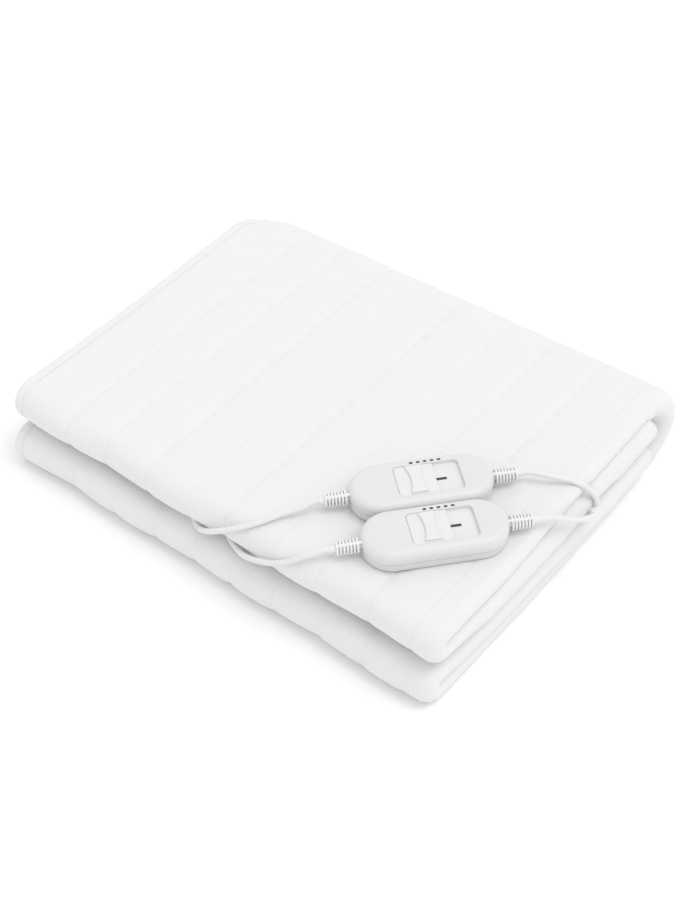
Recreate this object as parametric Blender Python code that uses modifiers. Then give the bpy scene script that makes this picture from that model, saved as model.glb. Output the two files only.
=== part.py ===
"""Electric heated blanket folded into a flat pack, with two hand controllers lying on it and their leads.

The quilted cloth is folded in three across its width, which makes a strip with a rounded fold along
its +X side, and the strip is then folded in four: both ends turn in at the -Y side and lie inside the
big fold at the +Y side. Metres, +Z up, the pack stands on z = 0.
"""

import math

import bmesh
import bpy
import numpy as np
from mathutils import Vector

# Pack, measured from its middle
HALF_WIDTH = 0.2275
PACK_DEPTH = 0.373
PACK_HEIGHT = 0.084
# The middle of the finished box lies this far from the middle of the pack
ORIGIN_SHIFT = (0.0008, -0.002255)

# Cloth: one quilted thickness, and the strip of three thicknesses
CLOTH = 0.0058
LAYER_PITCH = 0.0065
HALF_STRIP = LAYER_PITCH + CLOTH / 2
NEST_GAP = 0.001
CREVICE = 0.0068

# Heights of the four panels' middles
BOTTOM_Z = HALF_STRIP
LOWER_Z = BOTTOM_Z + 2 * HALF_STRIP + NEST_GAP
UPPER_Z = LOWER_Z + 2 * HALF_STRIP + CREVICE
TOP_Z = UPPER_Z + 2 * HALF_STRIP + NEST_GAP
MIDDLE_Z = (BOTTOM_Z + TOP_Z) / 2

# Folds of the strip: middle of each bend along Y, and its radius at the middle of the strip
UPPER_FOLD_Y = -0.1627
LOWER_FOLD_Y = -0.1697
BACK_FOLD_Y = 0.1445
FRONT_RADIUS = (TOP_Z - UPPER_Z) / 2
BACK_RADIUS = (TOP_Z - BOTTOM_Z) / 2
# The strip's two ends stop this far from the middle of the back fold
END_RADIUS = 0.0219
END_SLANT = 1.2
END_TAPER = 0.55

# Side folds of the three layers
LEFT_FOLD_IN = 0.006
INNER_EDGE_IN = 0.0375
WIDE_LOOP = 2 * LAYER_PITCH

# Where each panel's +X rim stands beyond HALF_WIDTH: share of the way from the front to the back, reach
TOP_REACH = ((0.0, 0.0), (0.25, -0.003), (0.5, -0.0055), (1.0, -0.006))
UPPER_REACH = ((0.0, 0.0), (0.3, 0.001), (0.6, -0.001), (0.7, 0.0), (0.85, 0.003), (1.0, 0.003))
LOWER_REACH = ((0.0, -0.003), (0.4, 0.0), (0.8, 0.004), (1.0, 0.004))
BOTTOM_REACH = ((0.0, -0.003), (0.3, -0.005), (0.7, -0.003), (1.0, -0.003))
# The -X side leans out toward the back
LEFT_OUT = ((0.0, -0.0035), (0.5, 0.002), (1.0, 0.0056))
# The back edge leans: it is this much further back for each metre toward +X
BACK_LEAN = 0.038

# Small unevenness: height of the dips in the top, of the waves in the front folds, of the hanging rim
TOP_DIP = 0.0012
NOSE_WAVE = 0.0013
RIM_SAG = 0.0035

# Where the slanting part of the inner ends begins, as a share of END_RADIUS
END_ROUND = 0.98

# Stations along a panel, as shares of it, and columns across it, metres from the middle
SHARES = (0.17, 0.34, 0.5, 0.66, 0.83)
FRONT_STEPS = 8
BACK_STEPS = 10
COLUMNS = (-0.185, -0.12, -0.055, 0.01, 0.075, 0.135)
RIM_COLUMNS = (0.0, 0.33, 0.67)

# Hand controller: two shells, a slider in a recess, a strain relief at each end
CONTROLLER_LENGTH = 0.120
CONTROLLER_WIDTH = 0.0515
BASE_HEIGHT = 0.0082
CONTROLLER_HEIGHT = 0.0200
SHELL_GAP = 0.0003
BASE_INSET = 0.0006
TOP_ROUNDING = 0.0065
BASE_ROUNDING = 0.0018
REST_Z = PACK_HEIGHT + 0.0003
CONTROLLER_YAW = math.radians(48.9)
# Name, middle of the controller
CONTROLLERS = (("near", (0.1661, -0.1003)), ("far", (0.1271, -0.0653)))

RECESS_LENGTH = 0.0544
RECESS_WIDTH = 0.0333
RECESS_DEPTH = 0.0034
RECESS_ALONG = 0.0063
RECESS_CORNER = 0.004
SLIDER_LENGTH = 0.0325
SLIDER_GAP = 0.0003
SLIDER_THICK = 0.0026
SLIDER_CORNER = 0.0037
SLIDER_FRONT_CORNER = 0.001
GRIP_WAIST = 0.0038
GRIP_FLARE = 0.0030
GRIP_ACROSS = 0.0300
GRIP_HEIGHT = 0.0022
GRIP_ALONG = 0.001

END_STEPS = 6
GRIP_STEPS = 6

RELIEF_LENGTH = 0.024
RELIEF_ROOT = 0.0055
RELIEF_BASE_RADIUS = 0.0064
RELIEF_TIP_RADIUS = 0.0056
RELIEF_AXIS = 0.0100
RELIEF_GAP = 0.0003
RELIEF_SIDES = 18

# Leads
CORD_DIAMETER = 0.005
CORD_GAP = 0.0003
CORD_STEP = 0.0125
SQUARE_END = 0.002

# Routes, metres from the middle of the pack. A mains lead runs over the front folds into the crevice,
# through it to the -X side and down to the floor.
FAR_MAINS_ROUTE = (
    (0.0656, -0.1390, 0.0928), (0.0563, -0.1510, 0.0898), (0.0450, -0.1680, 0.0866),
    (0.0276, -0.1816, 0.0783), (0.0091, -0.1862, 0.0660), (-0.0050, -0.1850, 0.0562),
    (-0.0180, -0.1790, 0.0475), (-0.0350, -0.1670, 0.0424), (-0.0650, -0.1510, 0.0418),
    (-0.1300, -0.1270, 0.0420), (-0.1850, -0.1200, 0.0420), (-0.2290, -0.1200, 0.0420),
    (-0.2420, -0.1190, 0.0400), (-0.2530, -0.1160, 0.0320), (-0.2600, -0.1100, 0.0190),
    (-0.2630, -0.1010, 0.0080), (-0.2628, -0.0910, 0.0032),
)
NEAR_MAINS_ROUTE = (
    (0.1030, -0.1720, 0.0922), (0.0950, -0.1780, 0.0875), (0.0850, -0.1825, 0.0790),
    (0.0710, -0.1862, 0.0700), (0.0540, -0.1862, 0.0610), (0.0370, -0.1838, 0.0535),
    (0.0215, -0.1770, 0.0475), (0.0060, -0.1680, 0.0435), (-0.0100, -0.1560, 0.0420),
    (-0.0500, -0.1150, 0.0420), (-0.1050, -0.0300, 0.0420), (-0.1500, 0.0700, 0.0420),
    (-0.1850, 0.1250, 0.0420), (-0.2280, 0.1480, 0.0420), (-0.2430, 0.1530, 0.0400),
    (-0.2530, 0.1580, 0.0320), (-0.2600, 0.1650, 0.0190), (-0.2625, 0.1740, 0.0080),
    (-0.2610, 0.1850, 0.0034), (-0.2550, 0.1970, 0.0026), (-0.2430, 0.2065, 0.0026),
    (-0.2270, 0.2100, 0.0026), (-0.2100, 0.2100, 0.0026),
)
# A blanket lead runs down over the +X rim into the crevice and ends on the cloth inside it.
FAR_BLANKET_ROUTE = (
    (0.1989, 0.0093, 0.0928), (0.2125, 0.0185, 0.0898), (0.2232, 0.0272, 0.0832),
    (0.2306, 0.0350, 0.0742), (0.2350, 0.0405, 0.0640), (0.2352, 0.0440, 0.0547),
    (0.2310, 0.0470, 0.0475), (0.2235, 0.0500, 0.0435),
    (0.2120, 0.0540, 0.0420), (0.1920, 0.0620, 0.0419), (0.1600, 0.0770, 0.0420),
    (0.1100, 0.1020, 0.0420), (0.0500, 0.1280, 0.0420), (0.0100, 0.1400, 0.0420),
)
NEAR_BLANKET_ROUTE = (
    (0.2320, -0.0165, 0.0850), (0.2370, -0.0020, 0.0740), (0.2395, 0.0150, 0.0630),
    (0.2378, 0.0270, 0.0550), (0.2330, 0.0335, 0.0480), (0.2250, 0.0370, 0.0435),
    (0.2130, 0.0400, 0.0420), (0.1500, 0.0560, 0.0420), (0.0800, 0.0830, 0.0420),
    (0.0200, 0.1110, 0.0420), (-0.0200, 0.1250, 0.0420),
)

# Hank of a mains lead: turns one on another, each with two runs and two round folds
HANK_WIDTH = 7 * CORD_DIAMETER
# Name, middle of the hank, direction from the lead to the plug, length of a run, full turns
HANKS = (
    ("far", (-0.2490, -0.0135), math.radians(92), 0.090, 3),
    ("near", (-0.1280, 0.1950), 0.0, 0.100, 2),
)
TAIL_LENGTH = 0.034
# What lies on the surface is this much above it
FLOOR_LIFT = 0.0001

# Two-pin plug, lying flat
PLUG_WIDTH = 0.036
PLUG_THICK = 0.014
PLUG_LENGTH = 0.036
PLUG_TAIL_WIDTH = 0.014
PLUG_RELIEF = 0.018
PIN_RADIUS = 0.002
PIN_LENGTH = 0.019
PIN_SPACING = 0.019
PLUG_STEPS = 8

# Colour, roughness, metallic
WHITE_CLOTH = ((0.86, 0.86, 0.86), 0.9, 0.0)
WHITE_PLASTIC = ((0.80, 0.80, 0.80), 0.4, 0.0)
GREY_PLASTIC = ((0.72, 0.72, 0.72), 0.45, 0.0)
WHITE_RUBBER = ((0.76, 0.76, 0.75), 0.5, 0.0)
PIN_METAL = ((0.75, 0.72, 0.66), 0.3, 1.0)


def clear_scene():
    for obj in list(bpy.data.objects):
        bpy.data.objects.remove(obj, do_unlink=True)


def collection(name):
    made = bpy.data.collections.new(name)
    bpy.context.scene.collection.children.link(made)
    return made


def finish(obj, name, look):
    """Gives an object its own material and its place under the pack's middle."""
    obj.name = name
    colour, roughness, metallic = look
    material = bpy.data.materials.new(name)
    material.use_nodes = True
    shader = material.node_tree.nodes["Principled BSDF"]
    shader.inputs["Base Color"].default_value = (*colour, 1.0)
    shader.inputs["Roughness"].default_value = roughness
    shader.inputs["Metallic"].default_value = metallic
    obj.data.materials.clear()
    obj.data.materials.append(material)
    obj.parent = middle
    for owner in list(obj.users_collection):
        owner.objects.unlink(obj)
    parts.objects.link(obj)
    return obj


def as_cutter(obj, name):
    obj.name = name
    obj.parent = middle
    obj.hide_render = True
    obj.display_type = "WIRE"
    for owner in list(obj.users_collection):
        owner.objects.unlink(obj)
    cutters.objects.link(obj)
    return obj


def smooth_step(value):
    value = min(max(value, 0.0), 1.0)
    return value * value * (3 - 2 * value)


def read(table, share):
    return float(np.interp(share, [row[0] for row in table], [row[1] for row in table]))


# ---------------------------------------------------------------- the folded cloth


def section(reach, left, loop, thick):
    """Outline of the strip's three layers, as spans of two facing sides and its two round ends.

    Points are (x, n), n being the distance from the strip's middle toward its outer face. A span
    holds the points of both sides between two places along the cloth.
    """
    half = thick / 2
    hem = -HALF_WIDTH - left
    bend = (LAYER_PITCH + loop) / 2
    bend_n = (LAYER_PITCH - loop) / 2
    right = HALF_WIDTH + reach - bend - half
    turn = hem + LEFT_FOLD_IN + LAYER_PITCH / 2 + half
    inner_edge = HALF_WIDTH - INNER_EDGE_IN
    rim = [inner_edge + share * (right - inner_edge) for share in RIM_COLUMNS]

    def arc(x, n, radius, start, sweep, steps):
        angles = [start + sweep * k / steps for k in range(steps + 1)]
        return [(x + radius * math.cos(a), n + radius * math.sin(a)) for a in angles]

    def straight(columns, level):
        rows = [((x, level(x) + half), (x, level(x) - half)) for x in columns]
        return [([a[0], b[0]], [a[1], b[1]]) for a, b in zip(rows, rows[1:])]

    def second_layer(x):
        return -loop * smooth_step((x - inner_edge) / (right - inner_edge))

    spans = straight([hem + half, *COLUMNS, *rim, right], lambda x: LAYER_PITCH)
    for k in range(4):
        start, sweep = math.pi / 2 - k * math.pi / 4, -math.pi / 4
        outside = arc(right, bend_n, bend + half, start, sweep, 2)
        spans.append((outside, arc(right, bend_n, bend - half, start, sweep, 1)))
    back = straight([right, *rim[::-1], *COLUMNS[::-1], turn], second_layer)
    spans += [(lower, upper) for upper, lower in back]
    for k in range(2):
        start, sweep = math.pi / 2 + k * math.pi / 2, math.pi / 2
        inside = arc(turn, -LAYER_PITCH / 2, LAYER_PITCH / 2 - half, start, sweep, 1)
        outside = arc(turn, -LAYER_PITCH / 2, LAYER_PITCH / 2 + half, start, sweep, 3)
        spans.append((inside, outside))
    spans += straight([turn, *COLUMNS, inner_edge - half], lambda x: -LAYER_PITCH)
    edge_end = arc(inner_edge - half, -LAYER_PITCH, half, math.pi / 2, -math.pi, 4)[1:-1]
    hem_end = arc(hem + half, LAYER_PITCH, half, -math.pi / 2, -math.pi, 4)[1:-1]
    return spans, edge_end, hem_end


def ring(spans, edge_end, hem_end):
    """The section's points in order, and the point numbers of the faces that close it."""
    first, second, pairs = [spans[0][0][0]], [spans[0][1][0]], []
    for a, b in spans:
        starts = len(first) - 1, len(second) - 1
        first += a[1:]
        second += b[1:]
        pairs.append((range(starts[0], len(first)), range(starts[1], len(second))))
    points = [*first, *edge_end, *second[::-1], *hem_end]
    last = len(first) + len(edge_end) + len(second) - 1
    faces = [[*one, *(last - i for i in reversed(other))] for one, other in pairs]
    edge_start = len(first) - 1
    faces.append(list(range(edge_start, edge_start + len(edge_end) + 2)))
    faces.append([*range(last, last + len(hem_end) + 1), 0])
    return points, faces


def stations():
    """The strip's middle line from its upper inner end round to its lower inner end.

    Rows of panel, share of the way from front to back, y, z, direction of the outer face, reach of
    the +X rim, width of its loop and thickness of the cloth.
    """
    rows = []

    def panel(name, shares, y, z, side, reach, loops):
        for share in shares:
            thick = CLOTH * (END_TAPER if share == 1.0 else 1.0)
            loop = loops[0] + (loops[1] - loops[0]) * share
            rows.append((name, share, y, z, (0.0, side), read(reach, share), loop, thick))

    def fold(name, y, z, radius, start, steps, reaches, loops):
        for k in range(steps + 1):
            share = k / steps
            angle = start - math.pi * share
            out = (math.cos(angle), math.sin(angle))
            reach = reaches[0] + (reaches[1] - reaches[0]) * share
            loop = loops[0] + (loops[1] - loops[0]) * math.sin(math.pi * share) ** 2
            at = (y + radius * out[0], z + radius * out[1])
            rows.append((name, share, *at, out, reach, loop, CLOTH))

    inside, ends = SHARES, (*SHARES, 0.99, 1.0)
    down, up = -math.pi / 2, math.pi / 2
    growing, shrinking = (LAYER_PITCH, WIDE_LOOP), (LAYER_PITCH, 0.0)
    level = (LAYER_PITCH, LAYER_PITCH)
    panel("upper", ends[::-1], UPPER_FOLD_Y, UPPER_Z, -1.0, UPPER_REACH, growing)
    middle_z = (UPPER_Z + TOP_Z) / 2
    fold("front", UPPER_FOLD_Y, middle_z, FRONT_RADIUS, down, FRONT_STEPS, (0.0, 0.0), level)
    panel("top", inside, UPPER_FOLD_Y, TOP_Z, 1.0, TOP_REACH, shrinking)
    turned = (TOP_REACH[-1][1], BOTTOM_REACH[-1][1])
    loops = (0.0, LAYER_PITCH)
    fold("back", BACK_FOLD_Y, MIDDLE_Z, BACK_RADIUS, up, BACK_STEPS, turned, loops)
    panel("bottom", inside[::-1], LOWER_FOLD_Y, BOTTOM_Z, -1.0, BOTTOM_REACH, shrinking)
    reach = (LOWER_REACH[0][1], LOWER_REACH[0][1])
    middle_z = (BOTTOM_Z + LOWER_Z) / 2
    fold("front", LOWER_FOLD_Y, middle_z, FRONT_RADIUS, down, FRONT_STEPS, reach, level)
    panel("lower", ends, LOWER_FOLD_Y, LOWER_Z, 1.0, LOWER_REACH, growing)
    return rows


def end_y(z):
    """Where the strip's inner ends stop inside the back fold, at a height."""
    off, limit = abs(z - MIDDLE_Z), END_ROUND * END_RADIUS
    reach = math.sqrt(END_RADIUS**2 - min(off, limit) ** 2)
    return BACK_FOLD_Y + reach - END_SLANT * max(off - limit, 0.0)


def uneven(x, y, z, panel):
    """The pack's small dips and waves. The underside stays flat, and so does the controllers' rest."""
    high = smooth_step((z - MIDDLE_Z) / MIDDLE_Z)
    rest = smooth_step((x + 0.03) / 0.09) * smooth_step((0.10 - y) / 0.06)
    dips = 0.5 + 0.5 * math.sin(34 * x + 1.0) * math.cos(17 * y + 14 * x)
    z -= TOP_DIP * high * (1 - rest) * dips
    if panel == "upper":
        along = smooth_step((y + 0.14) / 0.06) * smooth_step((0.13 - y) / 0.05)
        cords = smooth_step((abs(y - 0.035) - 0.03) / 0.03)
        low = min(max((TOP_Z - HALF_STRIP - z) / (2 * HALF_STRIP), 0.0), 1.0)
        z -= RIM_SAG * along * cords * low * smooth_step((x - 0.185) / 0.03)
    front = smooth_step((-0.10 - y) / 0.07)
    y += NOSE_WAVE * front * math.sin(46 * x + (0.6 if z > MIDDLE_Z else 2.9))
    return x, y + BACK_LEAN * x * (y + PACK_DEPTH / 2) / PACK_DEPTH, z


def cloth_points(panel, share, y, z, out, reach, loop, thick):
    """One station's ring of points in space, with the faces that would close it."""
    to_back = share
    if panel in ("front", "back"):
        to_back = 0.0 if panel == "front" else 1.0
    flat, caps = ring(*section(reach, read(LEFT_OUT, to_back), loop, thick))
    points = []
    for x, n in flat:
        at_y, at_z = y + out[0] * n, z + out[1] * n
        if panel in ("upper", "lower"):
            at_y = y + share * (end_y(at_z) - y)
        elif panel in ("top", "bottom"):
            at_y = y + share * (BACK_FOLD_Y - y)
        points.append(uneven(x, at_y, at_z, panel))
    return points, caps


def make_cloth():
    points, faces, caps, rows = [], [], [], stations()
    for number, row in enumerate(rows):
        station, caps = cloth_points(*row)
        count = len(station)
        points += station
        if number:
            old, new = (number - 1) * count, number * count
            for k in range(count):
                after = (k + 1) % count
                faces.append((old + k, old + after, new + after, new + k))
    faces += caps
    faces += [[i + (len(rows) - 1) * len(station) for i in cap] for cap in caps]
    form = bmesh.new()
    corners = [form.verts.new(point) for point in points]
    for face in faces:
        form.faces.new([corners[i] for i in face])
    bmesh.ops.recalc_face_normals(form, faces=form.faces)
    return finish(object_from(form, "blanket"), "blanket", WHITE_CLOTH)


# ---------------------------------------------------------------- plain shapes


def object_from(form, name):
    mesh = bpy.data.meshes.new(name)
    form.to_mesh(mesh)
    form.free()
    mesh.shade_smooth()
    mesh.set_sharp_from_angle(angle=math.radians(35))
    obj = bpy.data.objects.new(name, mesh)
    bpy.context.scene.collection.objects.link(obj)
    return obj


def rounded_outline(length, width, corners, steps):
    """Points round a rectangle, whose corner radii run from +X +Y anticlockwise."""
    points = []
    for k, radius in enumerate(corners):
        x = (length / 2 - radius) * (1 if k in (0, 3) else -1)
        y = (width / 2 - radius) * (1 if k in (0, 1) else -1)
        for step in range(steps + 1):
            angle = (k + step / steps) * math.pi / 2
            point = (x + radius * math.cos(angle), y + radius * math.sin(angle))
            if not points or math.dist(points[-1], point) > 1e-6:
                points.append(point)
    if math.dist(points[0], points[-1]) < 1e-6:
        points.pop()
    return points


def prism(name, outline, low, high, top_weight=0.0, bottom_weight=0.0):
    """An outline raised from one height to another, with bevel weights on its two rims."""
    form = bmesh.new()
    floor = form.faces.new([form.verts.new((x, y, low)) for x, y in outline])
    raised = bmesh.ops.extrude_face_region(form, geom=[floor])["geom"]
    tops = [item for item in raised if isinstance(item, bmesh.types.BMVert)]
    bmesh.ops.translate(form, vec=(0, 0, high - low), verts=tops)
    bmesh.ops.recalc_face_normals(form, faces=form.faces)
    weights = form.edges.layers.float.new("bevel_weight_edge")
    for edge in form.edges:
        heights = [corner.co.z for corner in edge.verts]
        if max(heights) - min(heights) < 1e-6:
            top = heights[0] > (low + high) / 2
            edge[weights] = top_weight if top else bottom_weight
    return object_from(form, name)


def bevel(obj, width, segments):
    modifier = obj.modifiers.new("bevel", "BEVEL")
    modifier.limit_method = "WEIGHT"
    modifier.width = width
    modifier.segments = segments


def boolean(obj, other, operation):
    modifier = obj.modifiers.new(operation.lower(), "BOOLEAN")
    modifier.operation = operation
    modifier.object = other
    modifier.solver = "EXACT"


def place(obj, spot, turn=0.0):
    obj.location = spot
    obj.rotation_euler = (0.0, 0.0, turn)
    return obj


def turned(name, profile, steps):
    """A profile of (radius, height) points, run top to bottom, turned round its own Z axis."""
    mesh = bpy.data.meshes.new(name)
    edges = [(i, i + 1) for i in range(len(profile) - 1)]
    mesh.from_pydata([(r, 0.0, z) for r, z in profile], edges, [])
    obj = bpy.data.objects.new(name, mesh)
    bpy.context.scene.collection.objects.link(obj)
    screw = obj.modifiers.new("turn", "SCREW")
    screw.steps = screw.render_steps = steps
    screw.use_merge_vertices = True
    screw.merge_threshold = 0.00001
    screw.use_smooth_shade = True
    return obj


# ---------------------------------------------------------------- hand controllers


def make_relief(name, spot, heading):
    """Strain relief, a tapered sleeve whose root sits between the two shells."""
    whole = RELIEF_ROOT + RELIEF_LENGTH
    chamfer = 0.0008
    profile = [
        (0.0, whole), (RELIEF_TIP_RADIUS - chamfer, whole), (RELIEF_TIP_RADIUS, whole - chamfer),
        (RELIEF_BASE_RADIUS, RELIEF_ROOT), (RELIEF_BASE_RADIUS, 0.0), (0.0, 0.0),
    ]
    obj = turned(name, profile, RELIEF_SIDES)
    obj.location = spot
    obj.rotation_euler = (0.0, math.pi / 2, heading)
    return finish(obj, name, WHITE_RUBBER)


def make_controller(name, centre):
    """Two shells with a recess on top, a slider in it and a strain relief at each end."""
    yaw, (x, y) = CONTROLLER_YAW, centre
    spot = (x, y, REST_Z)
    radius = CONTROLLER_WIDTH / 2
    outline = rounded_outline(CONTROLLER_LENGTH, CONTROLLER_WIDTH, [radius] * 4, END_STEPS)
    inset = rounded_outline(
        CONTROLLER_LENGTH - 2 * BASE_INSET,
        CONTROLLER_WIDTH - 2 * BASE_INSET,
        [radius - BASE_INSET] * 4,
        END_STEPS,
    )
    seam = BASE_HEIGHT + SHELL_GAP
    base = place(prism(f"{name}_base_shell", inset, 0.0, BASE_HEIGHT, 0.0, 1.0), spot, yaw)
    top = place(prism(f"{name}_top_shell", outline, seam, CONTROLLER_HEIGHT, 1.0), spot, yaw)
    bevel(base, BASE_ROUNDING, 2)
    bevel(top, TOP_ROUNDING, 4)

    floor = CONTROLLER_HEIGHT - RECESS_DEPTH
    hollow = rounded_outline(RECESS_LENGTH, RECESS_WIDTH, [RECESS_CORNER] * 4, 4)
    cutter = prism("cutter", [(u + RECESS_ALONG, v) for u, v in hollow], floor, 0.03)
    boolean(top, as_cutter(place(cutter, spot, yaw), f"{name}_recess_cutter"), "DIFFERENCE")
    for end, heading in (("left", yaw + math.pi), ("right", yaw)):
        out = Vector((math.cos(heading), math.sin(heading), 0.0))
        root = Vector((*centre, REST_Z + RELIEF_AXIS)) + out * (CONTROLLER_LENGTH / 2 - RELIEF_ROOT)
        bpy.ops.mesh.primitive_cylinder_add(
            vertices=RELIEF_SIDES, radius=RELIEF_BASE_RADIUS + RELIEF_GAP, depth=0.02
        )
        pocket = bpy.context.object
        pocket.location = root + out * (0.01 - RELIEF_GAP)
        pocket.rotation_euler = (0.0, math.pi / 2, heading)
        as_cutter(pocket, f"{name}_{end}_pocket_cutter")
        boolean(base, pocket, "DIFFERENCE")
        boolean(top, pocket, "DIFFERENCE")
        make_relief(f"{name}_{end}_relief", root, heading)
    finish(base, f"{name}_base_shell", GREY_PLASTIC)
    finish(top, f"{name}_top_shell", WHITE_PLASTIC)
    make_slider(name, centre, floor)


def make_slider(name, centre, floor):
    """Slider with a waisted thumb grip. Its origin is on its line of travel."""
    yaw = CONTROLLER_YAW
    back, front = SLIDER_CORNER, SLIDER_FRONT_CORNER
    across = RECESS_WIDTH - 2 * SLIDER_GAP
    plate = prism(
        f"{name}_slider",
        rounded_outline(SLIDER_LENGTH, across, [front, back, back, front], 3),
        0.0,
        SLIDER_THICK,
        1.0,
    )
    bevel(plate, 0.0004, 1)
    side = []
    for k in range(GRIP_STEPS + 1):
        v = GRIP_ACROSS * (k / GRIP_STEPS - 0.5)
        side.append((GRIP_WAIST + GRIP_FLARE * (2 * v / GRIP_ACROSS) ** 2, v))
    outline = [(GRIP_ALONG + u, v) for u, v in side]
    outline += [(GRIP_ALONG - u, v) for u, v in reversed(side)]
    grip = prism(f"{name}_grip", outline, SLIDER_THICK / 2, SLIDER_THICK + GRIP_HEIGHT, 1.0)
    bevel(grip, 0.0008, 2)
    along = RECESS_ALONG - (RECESS_LENGTH - SLIDER_LENGTH) / 2 + SLIDER_GAP
    x = centre[0] + along * math.cos(yaw)
    y = centre[1] + along * math.sin(yaw)
    spot = (x, y, REST_Z + floor + SLIDER_GAP)
    place(plate, spot, yaw)
    boolean(plate, as_cutter(place(grip, spot, yaw), f"{name}_grip"), "UNION")
    finish(plate, f"{name}_slider", WHITE_PLASTIC)


def relief_tip(centre, end):
    """Middle of a strain relief's outer face, and the way that it points."""
    heading = CONTROLLER_YAW + (math.pi if end == "left" else 0.0)
    out = Vector((math.cos(heading), math.sin(heading), 0.0))
    reach = CONTROLLER_LENGTH / 2 + RELIEF_LENGTH
    return Vector((*centre, REST_Z + RELIEF_AXIS)) + out * reach, out


# ---------------------------------------------------------------- leads


def smooth_route(points, step):
    """Points a step apart along the smooth curve through a route's own points.

    One more point near each end keeps the end faces square to the curve there.
    """
    route = np.array(points, float)
    gaps = np.linalg.norm(np.diff(route, axis=0), axis=1)
    knots = np.concatenate([[0.0], np.cumsum(gaps)])
    count = len(route)
    matrix, right = np.eye(count), np.zeros((count, 3))
    for i in range(1, count - 1):
        matrix[i, i - 1 : i + 2] = gaps[i - 1], 2 * (gaps[i - 1] + gaps[i]), gaps[i]
        slopes = (route[i + 1] - route[i]) / gaps[i], (route[i] - route[i - 1]) / gaps[i - 1]
        right[i] = 6 * (slopes[0] - slopes[1])
    bends = np.linalg.solve(matrix, right)
    fine = []
    for i in range(count - 1):
        for t in np.linspace(0.0, 1.0, 40, endpoint=i == count - 2):
            a, b, h = 1 - t, t, gaps[i]
            bowed = ((a**3 - a) * bends[i] + (b**3 - b) * bends[i + 1]) * h * h / 6
            fine.append(a * route[i] + b * route[i + 1] + bowed)
    fine = np.array(fine)
    run = np.concatenate([[0.0], np.cumsum(np.linalg.norm(np.diff(fine, axis=0), axis=1))])
    even = np.linspace(0.0, run[-1], max(3, round(run[-1] / step) + 1))
    even = np.insert(even, [1, len(even) - 1], [SQUARE_END, run[-1] - SQUARE_END])
    line = np.column_stack([np.interp(even, run, fine[:, k]) for k in range(3)])
    line[:, 2] = np.maximum(line[:, 2], CORD_DIAMETER / 2 + FLOOR_LIFT)
    return line


def make_tube(name, points):
    curve = bpy.data.curves.new(name, "CURVE")
    curve.dimensions = "3D"
    curve.bevel_depth = CORD_DIAMETER / 2
    curve.bevel_resolution = 2
    curve.use_fill_caps = True
    spline = curve.splines.new("POLY")
    line = smooth_route(points, CORD_STEP)
    spline.points.add(len(line) - 1)
    for place_at, point in zip(spline.points, line):
        place_at.co = (*point, 1.0)
    spline.use_smooth = True
    obj = bpy.data.objects.new(name, curve)
    bpy.context.scene.collection.objects.link(obj)
    return finish(obj, name, WHITE_RUBBER)


def make_lead(name, centre, end, route, finish_at=()):
    """A lead's uncoiled stretch, straight out of its strain relief and then along its route."""
    tip, out = relief_tip(centre, end)
    start = [tip + out * CORD_GAP, tip + out * CORD_DIAMETER]
    make_tube(name, [*(tuple(point) for point in start), *route, *finish_at])


def hank_side():
    """How far a hank's runs lie from its middle line, and how far its round end reaches beside them."""
    turn = HANK_WIDTH / 2
    column = turn - CORD_DIAMETER / 2
    return column, math.sqrt(turn**2 - (column - CORD_DIAMETER / 2) ** 2)


def hank_mouth(centre, heading, run):
    """The last two points of the run that goes into a hank on the surface."""
    at = hank_frame(centre, heading)
    column, meets = hank_side()
    u = -run / 2 - meets - CORD_GAP
    height = CORD_DIAMETER / 2 + FLOOR_LIFT
    return tuple(at(u - CORD_DIAMETER, column, height)), tuple(at(u, column, height))


def hank_frame(centre, heading):
    """Turns (along, across, up) of a hank into a place."""
    along = Vector((math.cos(heading), math.sin(heading), 0.0))
    across = Vector((-math.sin(heading), math.cos(heading), 0.0))

    def at(u, v, z):
        return Vector((*centre, z)) + along * u + across * v

    return at


def make_hank(name, centre, heading, run, turns):
    """The outer shape of the folded lead, and behind it the tail, the plug and the plug's pins."""
    at = hank_frame(centre, heading)
    length, height = run + HANK_WIDTH, (turns + 1) * CORD_DIAMETER
    curve = bpy.data.curves.new(f"{name}_hank", "CURVE")
    curve.dimensions = "2D"
    curve.fill_mode = "BOTH"
    curve.extrude = height / 2
    spline = curve.splines.new("POLY")
    outline = rounded_outline(length, HANK_WIDTH, [HANK_WIDTH / 2] * 4, 6)
    spline.points.add(len(outline) - 1)
    for place_at, point in zip(spline.points, outline):
        place_at.co = (*point, 0.0, 1.0)
    spline.use_cyclic_u = True
    hank = bpy.data.objects.new(f"{name}_hank", curve)
    bpy.context.scene.collection.objects.link(hank)
    place(hank, at(0.0, 0.0, height / 2 + FLOOR_LIFT), heading)
    finish(hank, f"{name}_hank", WHITE_RUBBER)

    # The last run leaves the hank on top, above the run that came in
    column, meets = hank_side()
    leave_at = run / 2 + meets + CORD_GAP
    relief_at = length / 2 + TAIL_LENGTH
    half_way = (leave_at + relief_at) / 2
    top_run = height - CORD_DIAMETER / 2
    plug_z = PLUG_THICK / 2 + FLOOR_LIFT
    route = (
        (leave_at, column, top_run),
        (leave_at + CORD_DIAMETER, column, top_run),
        (half_way, column / 2, (top_run + plug_z) / 2),
        (relief_at - CORD_DIAMETER, 0.0, plug_z),
        (relief_at - CORD_GAP, 0.0, plug_z),
    )
    make_tube(f"{name}_tail", [tuple(at(*point)) for point in route])
    make_plug(name, at, relief_at, plug_z, heading)


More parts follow.
